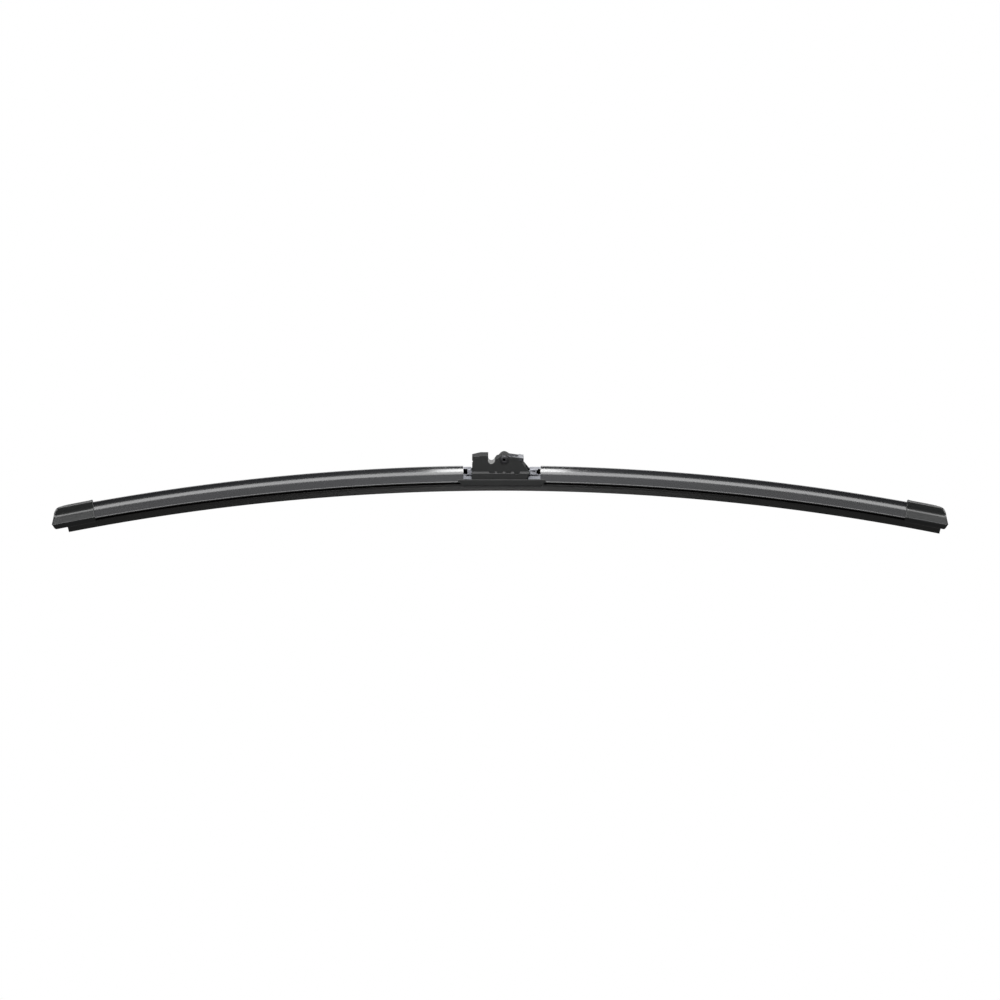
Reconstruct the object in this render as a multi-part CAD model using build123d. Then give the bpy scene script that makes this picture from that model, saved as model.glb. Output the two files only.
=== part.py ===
from build123d import *
import os
from math import cos, degrees, hypot, radians, sin, tan

# A bowed flat wiper blade with a rocking arm adapter.
# Millimetres. X runs along the blade, -Y is the windward side and +Z points away from the glass.
# Heights are taken from the top of the spring rails at the crown of the bow.

# Whole blade
BLADE_LENGTH = 600.0
BOW_RADIUS = 1490.0
FIT = 0.05

# Spring rails
RAIL_INSET = 6.0
RAIL_WIDTH = 4.8
RAIL_THICKNESS = 0.85
RAIL_SPACING = 2.8
RAIL_NOTCH_RADIUS = 0.9
RAIL_NOTCH_FROM_END = 6.0

# Wiper rubber
RUBBER_INSET_LEFT = 9.4
RUBBER_INSET_RIGHT = 3.8
RUBBER_DEPTH = 8.9
BACK_WIDTH = 6.4
BACK_HEIGHT = 0.8
HEAD_WIDTH = 6.0
HEAD_HEIGHT = 1.3
NECK_WIDTH = 0.9
NECK_HEIGHT = 1.4
SHOULDER_WIDTH = 5.6
SHOULDER_HEIGHT = 0.9
LIP_ROOT = 2.6
LIP_EDGE = 0.8

# Wind spoilers
SPOILER_HEIGHT = 8.0
CLAW_WALL = 1.15
CLAW_JAW = 0.8
CLAW_REACH = 1.2
EDGE_DROP = 0.2
FRONT_FACET_RUN = 3.4
FRONT_FACET_RISE = 2.55
REAR_FACET_RUN = 2.7
REAR_FACET_RISE = 2.4
RIDGE_WIDTH = 1.2
RIDGE_OFFSET = 0.6
CHAMBER_WALL = 1.0
CHAMBER_TOP = 2.6
CHAMBER_TIP = 0.7

# End caps
CAP_LENGTH = 29.3
CAP_WALL = 0.7
CAP_GRIP = 8.0
CAP_LEDGE = 0.7
CAP_SKIRT_DEPTH = 4.4
CAP_SKIRT_TOP = 14.6
CAP_SKIRT_FOOT = 12.4
CAP_NOSE_LEAN = 1.9
CAP_NOSE_SHARE = 0.54
CAP_CHAMFER_LENGTH = 1.3
CAP_PLAY = 0.2

# Rail clamps and pivot bracket
CONNECTOR_X = 1.25
SPOILER_PLAY = 0.25
CLAMP_SHEET = 1.2
CLAMP_ROOF = 1.0
CLAMP_LEFT_LENGTH = 5.4
CLAMP_RIGHT_LENGTH = 8.25
CLAMP_JAW = 0.95
CLAMP_REACH = 1.3
CLAMP_FLANK = 1.8
BRACKET_LENGTH = 51.2
BRACKET_WIDTH = 9.8
BRACKET_SHEET = 1.0
BRACKET_BEND = 1.25
BRACKET_CORNER = 0.45
BRACKET_LEFT_END = 5.3
BRACKET_RIGHT_END = 7.2
BRACKET_FOOT = 1.9
BRACKET_SEAM = 0.4
BRACKET_END_HEIGHT = 4.45
BRACKET_MIDDLE_HEIGHT = 3.65
WINDOW_LENGTH = 2.3
WINDOW_HEIGHT = 2.6
WINDOW_FROM_END = 0.4
WINDOW_FROM_TOP = 0.4
SLOT_LENGTH = 2.7
SLOT_WIDTH = 0.7
SLOT_FROM_END = 4.55
SLOT_FROM_TOP = 1.25
SLOT_TILT = 12.0
EAR_RADIUS = 2.2
EAR_FOOT = 9.0

# Pivot
PIVOT_X = 2.76
PIVOT_HEIGHT = 13.4
RIVET_RADIUS = 1.5
RIVET_HEAD_RADIUS = 3.0
RIVET_HEAD_HEIGHT = 0.9
RIVET_HOLE_RADIUS = 0.9
RIVET_HOLE_DEPTH = 4.0
BUSH_WALL = 0.6
SWING = 10.0
RUNNING_GAP = 0.1
SIDE_PLAY = 0.3

# Base cover
COVER_PLAY = 0.2
SKIRT_OVERLAP = 3.2
SKIRT_WALL = 1.4
SKIRT_RISE = 0.38
SKIRT_DEPTH = 4.78
SKIRT_END_CHAMFER = 2.85
SKIRT_EDGE = 0.4
GROOVE_WIDTH = 0.4
GROOVE_DEPTH = 0.3
GROOVE_FROM_FOOT = 0.75
UPSTAND_WALL = 1.0
UPSTAND_SLANT = 2.3
UPSTAND_END_GAP = 1.0
UPSTAND_HEIGHT = 5.4
UPSTAND_CHAMFER_WIDTH = 0.9
UPSTAND_CHAMFER_HEIGHT = 1.25
FLOOR_HEIGHT = 0.9
SCALLOP_COUNT = 3
SCALLOP_PITCH = 5.4
SCALLOP_LENGTH = 3.6
SCALLOP_DEPTH = 0.9
SCALLOP_START = -8.2
DIP_CENTRE = 8.4
DIP_LENGTH = 4.0
DIP_DEPTH = 1.7
DIP_CORNER = 1.5

# Arm adapter, placed from the pivot
ADAPTER_WALL = 1.4
ADAPTER_ROOF = 1.5
ADAPTER_REAR_LENGTH = 21.26
ADAPTER_END_LENGTH = 12.24
ADAPTER_FOOT_LENGTH = 17.3
BLOCK_HEIGHT = 2.53
BLOCK_CHAMFER = 0.6
BLOCK_CHAMFER_LENGTH = 5.0
SEAT_RADIUS = 2.1
SEAT_BACK = 8.51
SEAT_DROP = 0.65
NOTCH_SLOPE = 54.0
NOTCH_LEDGE_BACK = 5.1
NOTCH_LEDGE_RISE = 1.0
NOTCH_LEDGE_LENGTH = 1.6
HUMP_RADIUS = 3.3
HUMP_ROOF = 0.7
HUMP_START = 140.0
HUMP_END = 46.0
ROOF_END_HEIGHT = 0.95
END_WALL_DROP = 2.75
NOSE_CHAMFER_LENGTH = 5.4
NOSE_CHAMFER_WIDTH = 6.6
LIP_CLEARANCE = 0.5
GRIP_DROP = 1.85
GRIP_HEIGHT = 2.0
GRIP_DEPTH = 0.45

# Lock spring on the adapter's end
LEAF_THICKNESS = 0.6
LEAF_PROUD = 0.45
LEAF_STEM_LENGTH = 6.6
LEAF_STEM_WIDTH = 8.6
LEAF_HEAD_LENGTH = 2.8
LEAF_TAB_HEIGHT = 2.0
LEAF_EAR_HEIGHT = 2.0

# Places worked out from the sizes above
BOW_AXIS = Axis((0, 0, -BOW_RADIUS), (0, 1, 0))
rail_inner = RAIL_SPACING / 2
rail_outer = rail_inner + RAIL_WIDTH
spoiler_half = rail_outer + FIT + CLAW_WALL
claw_bottom = -RAIL_THICKNESS - FIT - CLAW_JAW
clamp_half = rail_outer + FIT + CLAMP_SHEET
clamp_top = BACK_HEIGHT + 3 * FIT + CLAMP_ROOF
skirt_inner = max(spoiler_half, clamp_half) + COVER_PLAY
skirt_outer = skirt_inner + SKIRT_WALL
bracket_half = BRACKET_WIDTH / 2
adapter_inner = bracket_half + SIDE_PLAY
adapter_half = adapter_inner + ADAPTER_WALL
upstand_inner = adapter_half + SIDE_PLAY
upstand_outer = upstand_inner + UPSTAND_WALL
bracket_left = CONNECTOR_X - BRACKET_LENGTH / 2
bracket_right = CONNECTOR_X + BRACKET_LENGTH / 2
gap_left = bracket_left - SPOILER_PLAY
gap_right = bracket_right + SPOILER_PLAY
bracket_middle = clamp_top + BRACKET_MIDDLE_HEIGHT
bracket_end = clamp_top + BRACKET_END_HEIGHT
seat_x = PIVOT_X - SEAT_BACK
seat_z = PIVOT_HEIGHT - SEAT_DROP
WIDE = 2 * skirt_outer
MARGIN = 2.0


# Place at an arc length along the bow, X along the blade and Z square to it
def on_bow(arc_length):
    return Pos(0, 0, -BOW_RADIUS) * Rot(0, degrees(arc_length / BOW_RADIUS), 0) * Pos(0, 0, BOW_RADIUS)


# Section in the YZ plane carried along the bow between two arc lengths
def bowed(section, start, end):
    first = (Plane.YZ * section).rotate(BOW_AXIS, degrees(start / BOW_RADIUS))
    return revolve(first, BOW_AXIS, degrees((end - start) / BOW_RADIUS))


# Section in the YZ plane carried straight along X
def straight(section, start, end):
    return extrude(Plane.YZ.offset(start) * section, end - start, dir=(1, 0, 0))


# Side outline in the XZ plane made as wide as twice the half width
def across(outline, half_width):
    return extrude(Plane.XZ * outline, half_width, both=True)


# Closed outline that is the same on both sides of the blade, from its windward half
def mirrored(points):
    return Polygon(*points, *[(-y, z) for y, z in reversed(points)], align=None)


# Wiper rubber: two grooves take the rails, a thin neck lets the lip flop over
def make_wiper_rubber():
    groove_top = FIT
    groove_bottom = -RAIL_THICKNESS - FIT
    head_bottom = groove_bottom - HEAD_HEIGHT
    shoulder_top = head_bottom - NECK_HEIGHT
    shoulder_bottom = shoulder_top - SHOULDER_HEIGHT
    lip_root_height = shoulder_bottom - (SHOULDER_WIDTH - LIP_ROOT) / 4
    section = mirrored([
        (BACK_WIDTH / 2, groove_top + BACK_HEIGHT),
        (BACK_WIDTH / 2, groove_top),
        (rail_inner - FIT, groove_top),
        (rail_inner - FIT, groove_bottom),
        (HEAD_WIDTH / 2, groove_bottom),
        (HEAD_WIDTH / 2, head_bottom),
        (NECK_WIDTH / 2, head_bottom),
        (NECK_WIDTH / 2, shoulder_top),
        (SHOULDER_WIDTH / 2, shoulder_top),
        (SHOULDER_WIDTH / 2, shoulder_bottom),
        (LIP_ROOT / 2, lip_root_height),
        (LIP_EDGE / 2, -RUBBER_DEPTH),
    ])
    return bowed(section, RUBBER_INSET_LEFT - BLADE_LENGTH / 2, BLADE_LENGTH / 2 - RUBBER_INSET_RIGHT)


# Spring rail with a round notch near each end for the cap's tooth
def make_spring_rail(side):
    centre = side * (rail_inner + RAIL_WIDTH / 2)
    section = Pos(centre, -RAIL_THICKNESS / 2) * Rectangle(RAIL_WIDTH, RAIL_THICKNESS)
    half_length = BLADE_LENGTH / 2 - RAIL_INSET
    rail = bowed(section, -half_length, half_length)
    for end in (-1, 1):
        notch_place = end * (half_length - RAIL_NOTCH_FROM_END)
        notch = Cylinder(RAIL_NOTCH_RADIUS, 4 * RAIL_THICKNESS)
        rail -= on_bow(notch_place) * Pos(0, side * rail_outer, -RAIL_THICKNESS / 2) * notch
    return rail


# Outside of the spoiler: a flat facet, a hollow flank and a thin rounded ridge
def spoiler_envelope():
    ridge_front = (RIDGE_OFFSET - RIDGE_WIDTH / 2, SPOILER_HEIGHT - RIDGE_WIDTH / 2)
    ridge_top = (RIDGE_OFFSET, SPOILER_HEIGHT)
    ridge_rear = (RIDGE_OFFSET + RIDGE_WIDTH / 2, SPOILER_HEIGHT - RIDGE_WIDTH / 2)
    front_edge = (-spoiler_half, -EDGE_DROP)
    rear_edge = (spoiler_half, -EDGE_DROP)
    front_facet = Line(front_edge, (-spoiler_half + FRONT_FACET_RUN, FRONT_FACET_RISE - EDGE_DROP))
    rear_facet = Line(rear_edge, (spoiler_half - REAR_FACET_RUN, REAR_FACET_RISE - EDGE_DROP))
    front_flank = TangentArc(front_facet @ 1, ridge_front, tangent=front_facet % 1)
    rear_flank = TangentArc(rear_facet @ 1, ridge_rear, tangent=rear_facet % 1)
    ridge = ThreePointArc(ridge_front, ridge_top, ridge_rear)
    foot = Polyline(rear_edge, (spoiler_half, claw_bottom), (-spoiler_half, claw_bottom), front_edge)
    return make_face(front_facet + front_flank + ridge + rear_flank + rear_facet + foot)


# Groove under the spoiler for rails, back strip and the opening between the claws
def spoiler_groove():
    groove_bottom = -RAIL_THICKNESS - FIT
    claw_tip = rail_outer - CLAW_REACH
    tunnel_half = BACK_WIDTH / 2 + 2 * FIT
    tunnel_top = BACK_HEIGHT + 2 * FIT
    return mirrored([
        (tunnel_half, tunnel_top),
        (tunnel_half, FIT),
        (rail_outer + FIT, FIT),
        (rail_outer + FIT, groove_bottom),
        (claw_tip, groove_bottom),
        (claw_tip, claw_bottom - MARGIN),
    ])


# Wind spoiler: hollow extrusion that clips over the rails and runs into its end cap
def make_spoiler(start, end):
    chamber_floor = BACK_HEIGHT + CHAMBER_WALL
    chamber_front = -spoiler_half + FRONT_FACET_RUN + CHAMBER_WALL
    chamber_rear = spoiler_half - REAR_FACET_RUN - CHAMBER_WALL
    chamber_roof = SPOILER_HEIGHT - CHAMBER_TOP
    chamber = Polygon(
        (chamber_front, chamber_floor),
        (chamber_rear, chamber_floor),
        (RIDGE_OFFSET + CHAMBER_TIP / 2, chamber_roof),
        (RIDGE_OFFSET - CHAMBER_TIP / 2, chamber_roof),
        align=None,
    )
    return bowed(spoiler_envelope() - spoiler_groove() - chamber, start, end)


# End cap: skin over the spoiler's end with a rounded nose and a tucked-in skirt round the rails
def make_end_cap(side, rubber_inset):
    half = CAP_LENGTH / 2
    waist = spoiler_half + CAP_WALL
    top = SPOILER_HEIGHT + CAP_WALL
    ledge = -EDGE_DROP - CAP_LEDGE
    above_ledge = Pos(0, (top + ledge) / 2) * Rectangle(2 * waist, top - ledge)
    skin = offset(spoiler_envelope(), CAP_WALL) & above_ledge
    skirt = mirrored([
        (CAP_SKIRT_TOP / 2, 0),
        (CAP_SKIRT_TOP / 2, ledge),
        (CAP_SKIRT_FOOT / 2, -CAP_SKIRT_DEPTH),
    ])
    # The nose leans back from the ledge and rounds over tangent to the top
    lean_height = CAP_NOSE_SHARE * (top - ledge)
    lean_end = (half - CAP_NOSE_LEAN, ledge + lean_height)
    rest_height = top - lean_end[1]
    rest_lean = CAP_NOSE_LEAN * rest_height / lean_height
    round_end = (lean_end[0] - rest_lean - hypot(rest_lean, rest_height), top)
    nose = make_face(
        Polyline(
            round_end,
            (-half, top),
            (-half, -CAP_SKIRT_DEPTH),
            (half - CAP_CHAMFER_LENGTH, -CAP_SKIRT_DEPTH),
            (half, ledge),
            lean_end,
        )
        + TangentArc(lean_end, round_end, tangent=(-CAP_NOSE_LEAN, lean_height))
    )
    cap = (straight(skin, -half, half) + straight(skirt, -half, half)) & across(nose, WIDE)
    # The spoiler's bowed end plugs into the straight skin
    sagitta = half**2 / (2 * BOW_RADIUS)
    socket = offset(spoiler_envelope(), FIT + sagitta)
    cap -= straight(socket, -half, -half + CAP_GRIP + FIT)
    # Rails and rubber run on towards the nose, and the lip hangs through the open underside
    rail_end = half - RAIL_INSET
    rail_slot = mirrored([
        (rail_outer + CAP_PLAY, CAP_PLAY),
        (rail_outer + CAP_PLAY, -RAIL_THICKNESS - CAP_PLAY),
    ])
    cap -= straight(rail_slot, -half, rail_end + CAP_PLAY)
    rubber_half = max(BACK_WIDTH, HEAD_WIDTH, SHOULDER_WIDTH) / 2 + CAP_PLAY
    lip_slot = mirrored([
        (rubber_half, BACK_HEIGHT + 2 * CAP_PLAY),
        (rubber_half, -CAP_SKIRT_DEPTH - MARGIN),
    ])
    cap -= straight(lip_slot, -half, half - rubber_inset + CAP_PLAY)
    # A tooth on each side drops into the rails' notches
    tooth_x = rail_end - RAIL_NOTCH_FROM_END
    tooth_radius = RAIL_NOTCH_RADIUS - CAP_PLAY
    tooth_height = RAIL_THICKNESS + 2 * CAP_PLAY
    for flank in (-1, 1):
        tooth = Pos(tooth_x, flank * (rail_outer + CAP_PLAY / 2), -RAIL_THICKNESS / 2)
        cap += tooth * Cylinder(tooth_radius, tooth_height)
    placed = on_bow(BLADE_LENGTH / 2 - half) * cap
    if side < 0:
        placed = mirror(placed, about=Plane.YZ)
    return placed


# Rail clamp: stamped saddle over the rubber's back with claws folded under both rails
def make_clamp(start, end):
    tunnel = clamp_top - CLAMP_ROOF
    shoulder = clamp_half - CLAMP_FLANK
    jaw_bottom = -RAIL_THICKNESS - FIT - CLAMP_JAW
    outer = mirrored([
        (shoulder, clamp_top),
        (clamp_half, SKIRT_RISE),
        (clamp_half, jaw_bottom),
    ])
    inner = mirrored([
        (rail_outer - CLAMP_ROOF, tunnel),
        (rail_outer + FIT, FIT),
        (rail_outer + FIT, -RAIL_THICKNESS - FIT),
        (rail_outer - CLAMP_REACH, -RAIL_THICKNESS - FIT),
        (rail_outer - CLAMP_REACH, jaw_bottom - MARGIN),
    ])
    return straight(outer, start, end) - bowed(inner, start - MARGIN, end + MARGIN)


# Pivot bracket: folded channel with ears at the pivot, its ends folded in over the top to a seam
def make_pivot_bracket():
    ear_top = PIVOT_HEIGHT + EAR_RADIUS
    tall = ear_top - clamp_top
    outer = Pos(0, clamp_top + tall / 2) * Rectangle(BRACKET_WIDTH, tall)
    outer = fillet(outer.vertices().group_by(Axis.Y)[0], BRACKET_BEND)
    inside = BRACKET_WIDTH - 2 * BRACKET_SHEET
    inner = Pos(0, clamp_top + BRACKET_SHEET + tall / 2) * Rectangle(inside, tall)
    inner = fillet(inner.vertices().group_by(Axis.Y)[0], BRACKET_BEND - BRACKET_SHEET)
    middle_left = bracket_left + BRACKET_LEFT_END
    middle_right = bracket_right - BRACKET_RIGHT_END
    channel = straight(outer - inner, middle_left, middle_right)
    side_view = Polygon(
        (middle_left, clamp_top),
        (middle_left, bracket_middle),
        (middle_right, bracket_middle),
        (middle_right, clamp_top),
        align=None,
    )
    ear = Polygon(
        (PIVOT_X - EAR_FOOT / 2, bracket_middle),
        (PIVOT_X - EAR_RADIUS, PIVOT_HEIGHT - EAR_RADIUS),
        (PIVOT_X - EAR_RADIUS, PIVOT_HEIGHT),
        (PIVOT_X + EAR_RADIUS, PIVOT_HEIGHT),
        (PIVOT_X + EAR_RADIUS, PIVOT_HEIGHT - EAR_RADIUS),
        (PIVOT_X + EAR_FOOT / 2, bracket_middle),
        align=None,
    )
    side_view += ear + Pos(PIVOT_X, PIVOT_HEIGHT) * Circle(EAR_RADIUS)
    side_view -= Pos(PIVOT_X, PIVOT_HEIGHT) * Circle(RIVET_RADIUS + FIT / 2)
    bracket = channel & across(side_view, WIDE)
    # Boxed ends
    end_centre = Pos(0, clamp_top + BRACKET_END_HEIGHT / 2)
    box = end_centre * Rectangle(BRACKET_WIDTH, BRACKET_END_HEIGHT)
    box = fillet(box.vertices().group_by(Axis.Y)[0], BRACKET_BEND)
    box = fillet(box.vertices().group_by(Axis.Y)[-1], BRACKET_CORNER)
    room = BRACKET_END_HEIGHT - 2 * BRACKET_SHEET
    box -= end_centre * RectangleRounded(inside, room, BRACKET_BEND - BRACKET_SHEET)
    box -= Pos(0, bracket_end) * Rectangle(BRACKET_SEAM, 3 * BRACKET_SHEET)
    bracket += straight(box, bracket_left, middle_left)
    bracket += straight(box, middle_right, bracket_right)
    # Square feet at both ends stand on the clamps where the bend is left out
    foot = Rectangle(BRACKET_SHEET, BRACKET_BEND)
    for side in (-1, 1):
        feet = Pos(side * (bracket_half - BRACKET_SHEET / 2), clamp_top + BRACKET_BEND / 2) * foot
        bracket += straight(feet, bracket_left, bracket_left + BRACKET_FOOT)
        bracket += straight(feet, bracket_right - BRACKET_FOOT, bracket_right)
    # Windows and a slot in the windward wall
    window_z = bracket_end - WINDOW_FROM_TOP - WINDOW_HEIGHT / 2
    front_wall = Plane.XZ.offset(bracket_half - BRACKET_SHEET - FIT)
    for edge, inward in ((bracket_left, 1), (bracket_right, -1)):
        window_x = edge + inward * (WINDOW_FROM_END + WINDOW_LENGTH / 2)
        window = Pos(window_x, window_z) * Rectangle(WINDOW_LENGTH, WINDOW_HEIGHT)
        bracket -= extrude(front_wall * window, BRACKET_SHEET + MARGIN)
    slot_place = Pos(bracket_right - SLOT_FROM_END, bracket_end - SLOT_FROM_TOP) * Rot(0, 0, -SLOT_TILT)
    slot = slot_place * SlotOverall(SLOT_LENGTH, SLOT_WIDTH)
    bracket -= extrude(front_wall * slot, BRACKET_SHEET + MARGIN)
    return bracket


# Semi-tubular rivet: plain shank, faceted dome on each side with the tube's hole in its middle
def make_pivot_rivet():
    head_start = adapter_half + RUNNING_GAP
    head_end = head_start + RIVET_HEAD_HEIGHT
    rim = RIVET_HEAD_HEIGHT / 3
    half_shank = Pos(0, 0, head_start / 2) * Cylinder(RIVET_RADIUS, head_start)
    dome = Polygon(
        (0, head_start),
        (RIVET_HEAD_RADIUS, head_start),
        (RIVET_HEAD_RADIUS, head_start + rim),
        ((RIVET_HEAD_RADIUS + RIVET_HOLE_RADIUS) / 2, head_end - rim / 2),
        (RIVET_HOLE_RADIUS, head_end),
        (0, head_end),
        align=None,
    )
    head = revolve(Plane.XZ * dome, Axis.Z)
    hole = Pos(0, 0, head_end - RIVET_HOLE_DEPTH / 2) * Cylinder(RIVET_HOLE_RADIUS, RIVET_HOLE_DEPTH)
    half_rivet = half_shank + head - hole
    rivet = half_rivet + mirror(half_rivet, about=Plane.XY)
    return Pos(PIVOT_X, 0, PIVOT_HEIGHT) * Rot(90, 0, 0) * rivet


# Spacer tube that keeps the ears apart when the rivet is closed
def make_pivot_bush():
    length = BRACKET_WIDTH - 2 * BRACKET_SHEET - 2 * FIT
    tube = Cylinder(RIVET_RADIUS + FIT + BUSH_WALL, length) - Cylinder(RIVET_RADIUS + FIT / 2, length)
    return Pos(PIVOT_X, 0, PIVOT_HEIGHT) * Rot(90, 0, 0) * tube


# Base cover: skirts over the clamps, a floor under the bracket and upstands beside the adapter
def make_base_cover():
    jaw_bottom = -RAIL_THICKNESS - FIT - CLAMP_JAW
    # The middle follows the rails on the inside and carries trench, floor and upstands
    core = mirrored([
        (bracket_half, clamp_top - FIT),
        (bracket_half, FLOOR_HEIGHT),
        (upstand_inner, FLOOR_HEIGHT),
        (upstand_inner, UPSTAND_HEIGHT),
        (upstand_outer - UPSTAND_CHAMFER_WIDTH, UPSTAND_HEIGHT),
        (upstand_outer, UPSTAND_HEIGHT - UPSTAND_CHAMFER_HEIGHT),
        (upstand_outer, SKIRT_RISE),
        (skirt_inner + FIT, SKIRT_RISE),
        (skirt_inner + FIT, jaw_bottom),
    ])
    tunnel = mirrored([
        (BACK_WIDTH / 2 + 2 * FIT, BACK_HEIGHT + 2 * FIT),
        (BACK_WIDTH / 2 + 2 * FIT, FIT),
        (rail_outer + FIT, FIT),
        (rail_outer + FIT, -RAIL_THICKNESS - FIT),
        (rail_outer - CLAW_REACH, -RAIL_THICKNESS - FIT),
        (rail_outer - CLAW_REACH, jaw_bottom - MARGIN),
    ])
    core_start = bracket_left + CLAMP_LEFT_LENGTH + COVER_PLAY
    core_foot = bracket_right - CLAMP_RIGHT_LENGTH - UPSTAND_END_GAP
    core_end = core_foot + UPSTAND_SLANT
    cover = straight(core, core_start, core_end) - bowed(tunnel, core_start - MARGIN, core_end + MARGIN)
    # One end overhangs its clamp, slanting in towards the foot
    overhang = Polygon(
        (core_end, UPSTAND_HEIGHT),
        (core_end + MARGIN, UPSTAND_HEIGHT),
        (core_end + MARGIN, jaw_bottom),
        (core_foot, jaw_bottom),
        (core_foot, SKIRT_RISE),
        align=None,
    )
    cover -= across(overhang, WIDE)
    # Skirts run past the spoilers' ends and slant in at the foot
    left = gap_left - SKIRT_OVERLAP
    right = gap_right + SKIRT_OVERLAP
    groove_z = -SKIRT_DEPTH + GROOVE_FROM_FOOT
    skirt_side = Polygon(
        (left, SKIRT_RISE),
        (right, SKIRT_RISE),
        (right - SKIRT_END_CHAMFER, -SKIRT_DEPTH),
        (left + SKIRT_END_CHAMFER, -SKIRT_DEPTH),
        align=None,
    )
    for side in (-1, 1):
        skirt = Polygon(
            (side * skirt_inner, SKIRT_RISE),
            (side * (skirt_outer - SKIRT_EDGE), SKIRT_RISE),
            (side * skirt_outer, SKIRT_RISE - SKIRT_EDGE),
            (side * skirt_outer, groove_z + GROOVE_WIDTH),
            (side * (skirt_outer - GROOVE_DEPTH), groove_z + GROOVE_WIDTH),
            (side * (skirt_outer - GROOVE_DEPTH), groove_z),
            (side * skirt_outer, groove_z),
            (side * skirt_outer, -SKIRT_DEPTH),
            (side * skirt_inner, -SKIRT_DEPTH),
            align=None,
        )
        cover += straight(skirt, left, right) & across(skirt_side, WIDE)
    # Shallow scallops and one deeper dip in the upstands' top edge
    for index in range(SCALLOP_COUNT):
        scallop_x = PIVOT_X + SCALLOP_START + index * SCALLOP_PITCH
        scallop = Pos(scallop_x, UPSTAND_HEIGHT) * Rectangle(SCALLOP_LENGTH, 2 * SCALLOP_DEPTH)
        cover -= across(scallop, WIDE)
    dip = Pos(PIVOT_X + DIP_CENTRE, UPSTAND_HEIGHT) * Rectangle(DIP_LENGTH, 2 * DIP_DEPTH)
    dip_corner = min(DIP_CORNER, DIP_DEPTH - FIT, DIP_LENGTH / 2 - FIT)
    dip = fillet(dip.vertices().group_by(Axis.Y)[0], dip_corner)
    cover -= across(dip, WIDE)
    return cover


# Points where the hump meets the sloping end roof and where that roof ends
def roof_points():
    hump_x = PIVOT_X + HUMP_RADIUS * cos(radians(HUMP_END))
    hump_z = PIVOT_HEIGHT + HUMP_RADIUS * sin(radians(HUMP_END))
    return (hump_x, hump_z), (PIVOT_X + ADAPTER_END_LENGTH, PIVOT_HEIGHT + ROOF_END_HEIGHT)


# Height of the sloping end roof
def roof_height(x):
    (hump_x, hump_z), (end_x, end_z) = roof_points()
    return hump_z + (end_z - hump_z) * (x - hump_x) / (end_x - hump_x)


# Strip of the sloping roof between two places, from its surface down to a depth
def roof_strip(start, end, depth):
    return Polygon(
        (start, roof_height(start)),
        (end, roof_height(end)),
        (end, roof_height(end) - depth),
        (start, roof_height(start) - depth),
        align=None,
    )


# Lock spring: T-shaped steel leaf on the sloping roof, with its end and both sides turned down
def make_lock_spring():
    end = roof_points()[1][0] + FIT
    outer = end + LEAF_THICKNESS
    head_start = end - LEAF_HEAD_LENGTH
    stem_start = head_start - LEAF_STEM_LENGTH
    tab_low = roof_height(end) - LEAF_TAB_HEIGHT
    tab = Polygon(
        (end, roof_height(end)),
        (outer, roof_height(outer)),
        (outer, tab_low),
        (end, tab_low),
        align=None,
    )
    head = roof_strip(head_start, end, LEAF_THICKNESS) + tab
    stem = roof_strip(stem_start, end, LEAF_THICKNESS)
    leaf = across(head, adapter_half) + across(stem, LEAF_STEM_WIDTH / 2)
    ears = across(roof_strip(head_start, end, LEAF_EAR_HEIGHT), adapter_half)
    ears -= across(roof_strip(head_start - MARGIN, end + MARGIN, WIDE), adapter_half - LEAF_THICKNESS)
    return leaf + ears


# Room in the adapter for the lock spring
def lock_spring_seat():
    end = roof_points()[1][0] + FIT
    head_start = end - LEAF_HEAD_LENGTH
    stem_start = head_start - LEAF_STEM_LENGTH
    depth = LEAF_THICKNESS + FIT
    seat = across(roof_strip(head_start - FIT, end, depth), adapter_half + FIT)
    seat += across(roof_strip(stem_start - FIT, end, depth), LEAF_STEM_WIDTH / 2 + FIT)
    # Beside the stem the roof is lower, so that the stem's edges stand proud
    seat += across(roof_strip(stem_start - FIT, end, LEAF_PROUD), adapter_half + FIT)
    ears = across(roof_strip(head_start - FIT, end, LEAF_EAR_HEIGHT + FIT), adapter_half + FIT)
    ears -= across(roof_strip(head_start - MARGIN, end + MARGIN, WIDE), adapter_half - depth)
    return seat + ears


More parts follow.
